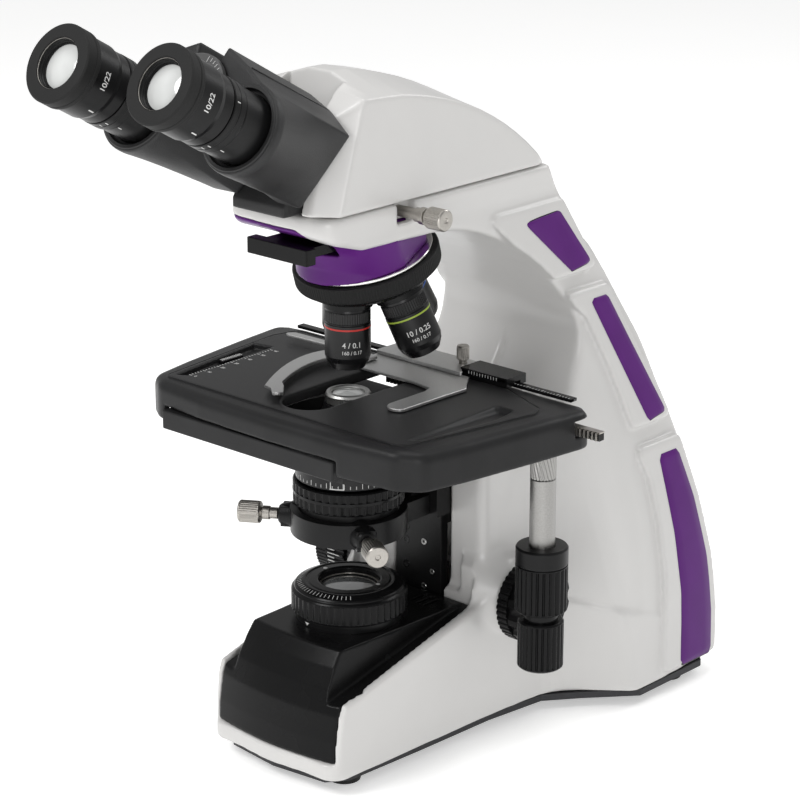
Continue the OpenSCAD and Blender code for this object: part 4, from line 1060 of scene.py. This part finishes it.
def stage():
    """The stage top with its trim, scales and pointer, and the teeth of the two racks."""
    low, high = (-117, -66, 174), (117, 70, 204)
    X, Y, Z = grid(low, high, FINE)
    plan = poly(np.abs(X), Y, rounded(STAGE_PLAN, [0, 20, 14, 12, 20, 20, 5, 6, 4, 0], 5))
    panel = poly(X, Y, PANEL)
    edge = np.clip(panel / 0.9 + 0.5, 0, 1)
    height = STAGE_Z - 0.55 * edge - 0.09 * np.clip(panel, 0, 12)
    height = height - 0.35 * np.exp(-((panel - 0.2) / 0.8) ** 2)
    scoop = poly(X, Y, rounded(SCOOP, [2, 3, 3, 4, 3]))
    depth = np.clip(-scoop / 3.2, 0, 1)
    depth = depth * depth * (3 - 2 * depth) * (0.9 + 2.2 * np.clip((Y + 40) / 70, 0, 1))
    height = height - depth
    shape = smax(plan, Z - height, 6.0)
    shape = smax(shape, 178.6 - Z, 1.2)
    hollow = smax(poly(np.abs(X), Y, HOLLOW), Z - (STAGE_Z - 6), 1.0)
    shaft = off(X, Y, DRIVE.x, DRIVE.y)
    hollow = smax(hollow, 12 - shaft, 0.5)
    shape = cut(shape, hollow, 0.6)
    shape = cut(shape, block(X, Y, Z, (-79, 48), (-70, -50), (165, 186.6)), 0.8)
    # room for the drive shafts and the racks
    shape = cut(shape, np.maximum(shaft - 7.0, Z - 187), 0.4)
    shape = cut(shape, np.maximum(shaft - 5.9, Z - 193), 0.3)
    shape = cut(shape, block(X, Y, Z, (74.8, 89.8), (30, 60), (165, 186)), 0.4)
    shape = cut(shape, block(X, Y, Z, (55, 140), (49.4, 65.6), (186, 194.2)), 0.4)
    front = off(X, Y, 0, -28) - 14.4
    opening = np.where(Y < -28, front, np.maximum(np.abs(X) - 14.4, Y - 42))
    shape = cut(shape, opening, 1.2)
    shape = cut(shape, np.maximum(poly(X, Y, WINDOW), 196.6 - Z), 0.7)
    surface("stage_plate", "stage", shape, low, FINE, "stage", ["stage_top"])
    wire("stage_trim", "stage", [(x, y, STAGE_Z - 0.05) for x, y in PANEL], 0.16, "black_gloss", True)
    # guide rail with its scale
    slab("stage_rail", "stage", WORLD, rectangle(-96, 100, 60.1, 64.9), 199.6, 201.4,
         "black_gloss", 0.3)
    ticks = [(x - 0.16, x + 0.16, 60.4, 61.6 if x % 10 else 62.6, 201.3, 201.48) for x in range(-30, 99, 2)]
    boxes("rail_ticks", "stage", WORLD, ticks, "mark")
    for i, x in enumerate(range(40, 100, 10)):
        lettering(f"rail_number_{i + 1}", "stage", str(x - 30), 2.6, on_plane(x, 58.2, 200.12))
    # scale along the window, and the pointer plate in it
    spans = [(-77.4, -76.4 + (0.9 if y % 10 == 0 else 0), y - 0.14, y + 0.14, 199.9, 200.12)
             for y in range(-40, 22, 2)]
    boxes("window_ticks", "stage", WORLD, spans, "mark")
    for i, y in enumerate(range(-40, 21, 10)):
        lettering(f"window_number_{i + 1}", "stage", str(10 * i), 2.7, on_plane(-72.8, y, 200.12))
    slab("window_pointer", "stage", WORLD, rounded(rectangle(-88.4, -84.4, -9, 7), 1),
         196.2, 198.6, "black_gloss", 0.3)
    boxes("pointer_ticks", "stage", WORLD,
          [(-87.8, -85.4, y - 0.16, y + 0.16, 198.5, 198.75) for y in np.arange(-7.6, 6.6, 1.27)], "mark")
    # teeth of the two racks
    boxes("rack_front_rear", "carriage", WORLD,
          [(87.2, 88.15, y, y + 1.25, 174.2, 178.9) for y in np.arange(-25.4, 73, 2.6)], "steel")
    boxes("rack_left_right", "slide_carrier", WORLD,
          [(x, x + 1.3, 50.2, 51.2, 187.2, 191.4) for x in np.arange(-19, 125, 2.6)]
          + [(84, 126.2, 51.0, 55.0, 190.9, 191.7)], "nickel")
    slab("fixed_plate_lip", "carriage", WORLD, rounded(rectangle(-77.5, 46.5, -60.3, -50), 1.2, 3),
         175.2, 185.4, "stage", 0.8)


def holder():
    """The slide holder: fixed arm and plate, the swinging finger and the vernier block."""
    tip = arc(43.4, -7.6, 6.4, 186, 330, 8)
    plan = [(-26, 52), (-26, 34), (-17, 26.5), (22, 26.5), (35, 24.4), (37, 18)] + tip + [
        (49.4, 20), (50, 36), (45, 42), (38, 52)]
    slab("holder_plate", "slide_carrier", WORLD, plan, 200.4, 202.2, "plate", 0.45, ["slide_holder"])
    upper = [(-26, 49), (36, 49), (30, 55), (30, 70), (-24, 70), (-26, 66)]
    slab("holder_bridge", "slide_carrier", WORLD, rounded(upper, 1.2, 3), 202.3, 204.4, "plate", 0.4)
    outer = bezier((-17.5, 41), (-46, 47), (-63, 22), (-26, -35), 18)
    inner = bezier((-23.4, -24.8), (-40, 6), (-38, 27), (-25.4, 31), 14)
    finger = outer + [(-20.5, -36.0), (-14.2, -41.2), (-10.2, -37.4), (-18, -29)] + inner + [(-17.5, 33)]
    slab("holder_finger_plate", "finger", WORLD, finger, 202.6, 204.5, "plate", 0.4, ["holder_finger"])
    lever = rounded([(-84, 38.4), (-80, 37.0), (-52, 38.0), (-30, 38.6), (-30, 43.4), (-80, 42.6)], 1.6, 4)
    slab("holder_lever", "finger", WORLD, lever, 202.7, 204.4, "plate", 0.4)
    turned("holder_pivot", "finger", basis((-22, 36, 0), (0, 0, 1)),
           [(0, 204.2), (2.7, 204.2), (2.7, 204.9), (2.1, 205.4), (0, 205.4)], "nickel", seg=40, soft=0.2)
    slab("vernier_block", "slide_carrier", WORLD, rounded(rectangle(30.4, 61.8, 54, 69.4), 0.8, 3),
         202.6, 205.0, "black_gloss", 0.4)
    boxes("vernier_ticks", "slide_carrier", WORLD,
          [(x - 0.15, x + 0.15, 53.85, 54.1, 203.0, 204.6) for x in np.arange(36, 56, 1.9)]
          + [(x - 0.15, x + 0.15, 54.4, 56.2, 204.9, 205.1) for x in np.arange(36, 56, 1.9)], "mark")


# ---------------------------------------------------------------- lamp ring, condenser, knobs
def lamp_ring():
    """The field diaphragm ring over the lamp, with its window and marks."""
    place = basis((0, 0, 0), (0, 0, 1))
    turned("lamp_collar", "root", place,
           [(17.6, 73.4), (28.5, 73.4), (28.5, 77.2), (28.1, 77.7), (17.6, 77.7)], "black_satin",
           ["field_collar"], seg=160, soft=0.3)
    turned("diaphragm_grip", "field_diaphragm", place,
           [(20, 78.3), (30.2, 78.3), (31, 79), (31, 89.2), (30.4, 90.0), (29.6, 90.6), (29.3, 90.9),
            (29.3, 91.4), (28.6, 92.2), (24.4, 93.9), (23.4, 93.9), (23.0, 93.5), (22.0, 93.5),
            (21.6, 93.9), (17.4, 94.1), (16.6, 93.8), (16.1, 93.0), (16.1, 88.6), (20, 88.6)],
           "black_plastic", ["field_diaphragm_ring"], ripple=ribs(46, 0.75, 79.2, 89.1, 30.5, 1.6),
           seg=552, soft=0.35)
    turned("field_window", "root", place,
           [(0, 90.0), (12, 89.8), (15.9, 89.2), (15.9, 87), (0, 87)], "field_glass", seg=96, soft=0.3)
    turned("field_window_ring", "field_diaphragm", place,
           [(15.4, 90.0), (16.1, 90.0), (16.1, 90.7), (15.4, 90.7)], "nickel", seg=128, soft=0.1)
    # strokes on the sloping face of the ring
    stroke = [(-1.3, -0.14), (1.3, -0.14), (1.3, 0.14), (-1.3, 0.14)]
    points = []
    for k in range(26):
        spot = (Matrix.Rotation(math.radians(-170 + 5.0 * k), 4, "Z") @ Matrix.Translation((26.6, 0, 93.1))
                @ Matrix.Rotation(math.radians(22), 4, "Y"))
        points += [tuple(spot @ Vector((x, y, MARK_LIFT))) for x, y in stroke]
    faces = [range(i, i + 4) for i in range(0, len(points), 4)]
    piece("diaphragm_scale", points, faces, "mark", "field_diaphragm")
    for i, (x, y) in enumerate(((-19, 1.4), (17.4, 3.7))):
        slab(f"diaphragm_dot_{i + 1}", "field_diaphragm", WORLD, arc(x, y, 1.15, 0, 345, 16),
             93.7, 94.15, "mark", 0)
    tri = [(-5.2, -28.55, 76.2), (-2.0, -28.75, 76.2), (-3.6, -28.65, 74.4)]
    piece("collar_arrow", tri, [(0, 2, 1)], "mark", "root")


def condenser():
    """The condenser with its iris ring, scales and centring screws."""
    place = basis((0, 0, 0), (0, 0, 1))
    turned("condenser_bowl", "condenser", place,
           [(12, 121.6), (17, 121.6), (21.5, 124.5), (23.4, 127.4), (23.4, 132.6), (26, 133.0), (26, 138.6),
            (12, 138.6)], "black_satin", seg=128, soft=0.4)
    turned("condenser_shell", "condenser", place,
           [(12, 152.6), (27.4, 152.6), (28, 153.2), (28, 160.0), (27.4, 160.6), (24.4, 160.8), (24, 161.4),
            (24, 172.0), (21.4, 172.8), (13.2, 190.6), (12.4, 193.0), (12, 193)], "condenser",
           ["condenser_body"], seg=160, soft=0.4)
    turned("condenser_top_ring", "condenser", place,
           [(8.7, 193.2), (11.8, 193.2), (12.0, 193.6), (12.0, 197.4), (11.2, 198.6), (9.4, 198.8),
           (8.7, 198.2)], "steel", ripple=ribs(48, 0.3, 193.8, 197.3, 11.6), seg=288, soft=0.25)
    turned("condenser_top_lens", "condenser", place,
           [(0, 198.4), (5, 198.1), (8.6, 197.2), (8.6, 194), (0, 194)], "lens", ["condenser_lens"],
           seg=64, soft=0.2)
    turned("iris_grip", "iris", place,
           [(24.1, 139), (28.6, 139), (29.5, 139.8), (29.5, 151.0), (28.8, 151.9), (24.1, 151.9)],
           "black_plastic", ["iris_ring"], ripple=ribs(42, 0.8, 139.9, 150.9, 29.0, 1.4), seg=504,
           soft=0.35)
    turned("iris_band", "iris", place,
           [(28.8, 144.6), (29.6, 144.7), (29.6, 146.3), (28.8, 146.4)], "black_gloss", seg=160, soft=0.15)
    ring_marks("condenser_scale", "condenser", place,
               [(-90 + 6.5 * k, 0.28, 28.0, 154.0, 155.6 + 1.2 * (k % 3 == 0)) for k in range(-10, 12)])
    ring_marks("condenser_index", "condenser", place,
               [(a, 0.4, 28.0, 153.8, 157.6) for a in (-66, -52)]
               + [(-66 + 1.75 * k, 0.92, 28.0, 153.6, 154.1) for k in range(9)])
    for side, name in ((1, "right"), (-1, "left")):
        axis = Vector((side * math.sin(SCREW_ANGLE), -math.cos(SCREW_ANGLE), 0))
        screw = basis(axis * 47.5 + Vector((0, 0, 128)), axis)
        body = name + "_centring"
        turned(f"centring_head_{name}", body, screw,
               [(0, 0), (5.4, 0), (6, 0.6), (6, 11.2), (5.3, 12), (1.5, 12), (1.2, 11.4), (0, 11.4)],
               "nickel", ["condenser_screw_" + name], ripple=ribs(30, 0.3, 0.9, 10.9, 5.7), seg=240,
               soft=0.3)
        turned(f"centring_shank_{name}", body, screw,
               [(0, -24), (2.1, -24), (2.1, -9.4), (3.1, -9.2), (3.1, -5.2), (3.7, -4.8), (3.7, -1.2),
                (3.0, -0.9), (3.0, 0.2), (0, 0.2)], "nickel", seg=48, soft=0.2)
        # flared horn of the carrier that holds the screw
        horn = basis(axis * 36.5 + Vector((0, 0, 128)), axis)
        turned(f"carrier_horn_{name}", "condenser", horn,
               [(2.4, 1.0), (4.6, 1.0), (5.4, 0), (7.2, -6), (9.0, -10), (2.4, -10)], "black_satin",
               seg=64, soft=0.6)


def focus_marks():
    """The scale on the coarse knob and the face of the fine knob."""
    place = basis(FOCUS, (1, 0, 0), (0, 0, 1))
    marks = [(k * 6.0, 0.45, 22.05, -64.6, -59.6 if k % 5 else -55.4) for k in range(60)]
    ring_marks("coarse_scale", "coarse", place, marks)
    for i in range(6):
        lettering(f"coarse_number_{i + 1}", "coarse", str(10 * i), 3.2,
                  on_drum(place, 22.05, i * 60 + 3, -54.6, -1.0))
    turned("fine_face", "fine", place, [(0, 74.3), (14.4, 74.3), (14.9, 74.0), (14.9, 73.6), (0, 73.6)],
           "black_satin", seg=96, soft=0.2)


def carriage_plates():
    """The slide plate with its screws."""
    place = basis((0, 0, 0), (0, -1, 0))
    slab("slide_plate", "carriage", place, rounded(rectangle(-16.4, 16.4, 64.2, 124), 1.5), -55.6, -54.7,
         "black_satin", 0.3)
    for i, (x, z, r) in enumerate(((-9, 70, 1.6), (-9, 84, 2.3), (-9, 98, 2.3), (-9, 106, 2.3),
                                   (-9, 114, 1.6), (4, 100, 1.7), (4, 74, 1.7), (10, 84, 1.4))):
        spot = basis((x, 54.8, z), (0, -1, 0))
        turned(f"slide_screw_{i + 1}", "carriage", spot,
               [(r * 0.45, 0.02), (r * 0.5, 0.25), (r, 0.3), (r + 0.25, 0.02), (r, -0.4), (r * 0.45, -0.4)],
               "steel" if r < 2 else "black_gloss", seg=32, soft=0.06)


def helical(angle, r, z):
    """Slanting teeth round the drive shaft."""
    return np.where(r > 6.2, -0.55 * (0.5 + 0.5 * np.cos(22 * angle + z * 0.9)) ** 0.7, 0.0)


def drive():
    """The hanging coaxial knobs: front-rear above on its tube, left-right below on the inner shaft."""
    place = basis((DRIVE.x, DRIVE.y, 0), (0, 0, 1))
    turned("stage_knob_grip", "y_drive", place,
           [(6.9, 89.2), (12.8, 89.2), (13.8, 90.0), (13.8, 114.6), (13.2, 115.4), (6.9, 115.4)],
           "black_plastic", ["y_knob"], ripple=ribs(24, 1.0, 90.2, 114.2, 13.2, 2.2), seg=384, soft=0.35)
    turned("stage_knob_collar", "y_drive", place,
           [(6.9, 115.0), (13.6, 115.2), (13.8, 115.8), (13.8, 124.0), (13.0, 125.0), (6.9, 125.0)],
           "black_satin", seg=128, soft=0.35)
    turned("slide_knob_grip", "x_drive", place,
           [(0, 57.6), (9.6, 57.6), (9.6, 57.2), (11.0, 57.2), (12.1, 58.2), (12.1, 83.0), (11.2, 84.0),
            (0, 84.0)], "black_plastic", ["x_knob"], ripple=ribs(24, 0.9, 58.6, 82.8, 11.6, 2.2),
           seg=384, soft=0.35)
    turned("slide_knob_neck", "x_drive", place,
           [(0, 83.8), (9, 83.8), (9, 88.6), (3.9, 88.6), (3.9, 187), (0, 187)], "black_gloss", seg=64)
    turned("drive_tube", "y_drive", place,
           [(4.2, 120), (6.75, 120), (6.75, 161.6), (6.5, 162), (4.2, 162)], "drive_steel",
           ["y_shaft"], seg=96, soft=0.2)
    turned("drive_teeth", "y_drive", place,
           [(4.2, 161.9), (6.7, 162.1), (6.8, 162.6), (6.8, 185.4), (4.2, 185.6)], "drive_steel",
           ripple=helical, ripple_z=0.7, seg=308, soft=0.15)
    turned("slide_pinion", "x_drive", place, [(0, 187), (5.0, 187), (5.0, 191.6), (0, 191.6)], "steel",
           ripple=ribs(12, 0.9, 186, 192, 4.5), seg=96, soft=0.1)


def screws():
    """Thumb screws of the slide holder and of the head."""
    for i, x in enumerate((-13, 24.4)):
        place = basis((x, 62.5, STAGE_Z), (0, 0, 1))
        turned(f"holder_screw_{i + 1}", "slide_carrier", place,
               [(0, 4.4), (2.3, 4.4), (2.3, 6.4), (3.0, 6.6), (3.4, 7.2), (3.4, 13.4), (2.9, 14.2),
               (0, 14.3)], "nickel", ["holder_screws"], ripple=ribs(20, 0.28, 7.3, 13.3, 3.1),
               seg=160, soft=0.25)
    place = basis((51, 5, PARTING_Z - 5.5), (1, 0, 0))
    turned("clamp_head", "clamp_screw", place,
           [(0, 1.2), (4.9, 1.2), (5.6, 1.9), (5.6, 11.3), (4.9, 12), (1.6, 12), (1.2, 11.4), (0, 11.4)],
           "nickel", ["head_clamp_screw"], ripple=ribs(30, 0.3, 2.1, 11.1, 5.3), seg=240, soft=0.3)
    turned("clamp_shank", "clamp_screw", place,
           [(0, -29.8), (2.95, -29.8), (2.95, -8), (3.7, -7.6), (3.7, -4.4), (4.4, -4.0), (4.4, -0.8),
            (3.2, -0.4), (3.2, 1.3), (0, 1.3)], "nickel", seg=64, soft=0.25)


# ---------------------------------------------------------------- studio
FLOOR_HALF = 6.0
FLOOR_GLOW = 0.40
SKY = 0.46
AIM = Vector((0, 0.04, 0.2))
# name, place, diameter and power of each lamp, in metres and watts
LAMPS = (("key", (-0.5, -1.3, 1.6), 0.8, 16), ("fill", (0.95, -1.0, 0.45), 0.6, 4),
         ("rim", (0.4, 1.5, 1.3), 0.8, 6), ("top", (0.0, 0.0, 1.9), 1.2, 9))
AZIMUTH, PITCH = math.radians(42.55), math.radians(18.3)
EYE = (0.938, -0.982, 0.6425)
LENS, SENSOR = 123.75, 36


def studio():
    """A pale floor that glows a little, an even sky and four soft lamps."""
    mat, tree, bsdf = shader("floor_paper", (0.93, 0.93, 0.925), 0.85,
                             Emission_Color=(1, 1, 1, 1), Emission_Strength=FLOOR_GLOW)
    tint(tree, bsdf, noise(tree, 3.0, 2.0), (0.925, 0.925, 0.92), (0.935, 0.935, 0.93))
    mesh = bpy.data.meshes.new("floor")
    mesh.from_pydata([(x * FLOOR_HALF, y * FLOOR_HALF, 0) for x, y in ((-1, -1), (1, -1), (1, 1), (-1, 1))],
                     [], [(0, 1, 2, 3)])
    mesh.materials.append(mat)
    place_in_scene("floor", mesh)
    world = bpy.data.worlds.new("studio")
    world.use_nodes = True
    background = world.node_tree.nodes["Background"].inputs
    background["Color"].default_value = (1, 1, 1, 1)
    background["Strength"].default_value = SKY
    bpy.context.scene.world = world
    for name, place, diameter, power in LAMPS:
        light = bpy.data.lights.new(name, "AREA")
        light.shape = "DISK"
        light.size = diameter
        light.energy = power
        lamp = place_in_scene(name, light)
        lamp.location = place
        lamp.rotation_euler = (AIM - Vector(place)).to_track_quat("-Z", "Y").to_euler()
    bpy.context.scene.view_settings.view_transform = "Standard"
    bpy.context.scene.view_settings.look = "None"


def camera():
    """The viewpoint of the photograph."""
    ahead = Vector((-math.sin(AZIMUTH) * math.cos(PITCH), math.cos(AZIMUTH) * math.cos(PITCH),
                    -math.sin(PITCH)))
    data = bpy.data.cameras.new("camera")
    data.lens = LENS
    data.sensor_width = SENSOR
    data.clip_end = 20
    cam = place_in_scene("camera", data)
    cam.location = EYE
    cam.rotation_euler = ahead.to_track_quat("-Z", "Y").to_euler()
    bpy.context.scene.camera = cam


NODE_LOOKS = {
    "base_plate": "dark_metal", "rubber_feet": "rubber", "lamp_lenses": "field_glass",
    "led_module": "aluminium", "power_inlet": "black_plastic", "head_seat": "aluminium",
    "guide_block": "steel", "power_switch": "black_plastic", "brightness_dial": "black_plastic",
    "turret_body": "black_gloss", "head_prism": "dark_glass", "focus_carriage": "black_satin",
    "focus_rack": "brass", "coarse_knobs": "black_plastic", "focus_pinion": "steel",
    "fine_knobs": "black_plastic", "tension_ring": "grey", "stage_base": "stage",
    "x_slider": "black_gloss", "slide_holder": "plate", "condenser_knob": "black_plastic",
    "condenser_lens": "lens", "condenser_carrier": "black_satin",
}


def dress():
    """Gives every node that still shows its finish, a small bevel and smooth shading."""
    for name, obj in nodes.items():
        if obj.get("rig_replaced") or obj.hide_render:
            continue
        obj.data.materials.clear()
        obj.data.materials.append(MAT[NODE_LOOKS.get(name, "black_satin")])
        weld = obj.modifiers.new("weld", "WELD")
        weld.merge_threshold = 0.00001
        bevel = obj.modifiers.new("bevel", "BEVEL")
        bevel.width = 0.0003
        bevel.segments = 2
        bevel.limit_method = "ANGLE"
        bevel.angle_limit = math.radians(32)
        normals = obj.modifiers.new("normals", "WEIGHTED_NORMAL")
        normals.keep_sharp = True


for build in (camera, studio, stand, inlays, nosepiece_housing_piece, lamp_cover_piece, head_shell, binocular,
              eyepieces, nosepiece, stage, holder, lamp_ring, condenser, focus_marks, carriage_plates, drive,
              screws, dress):
    build()
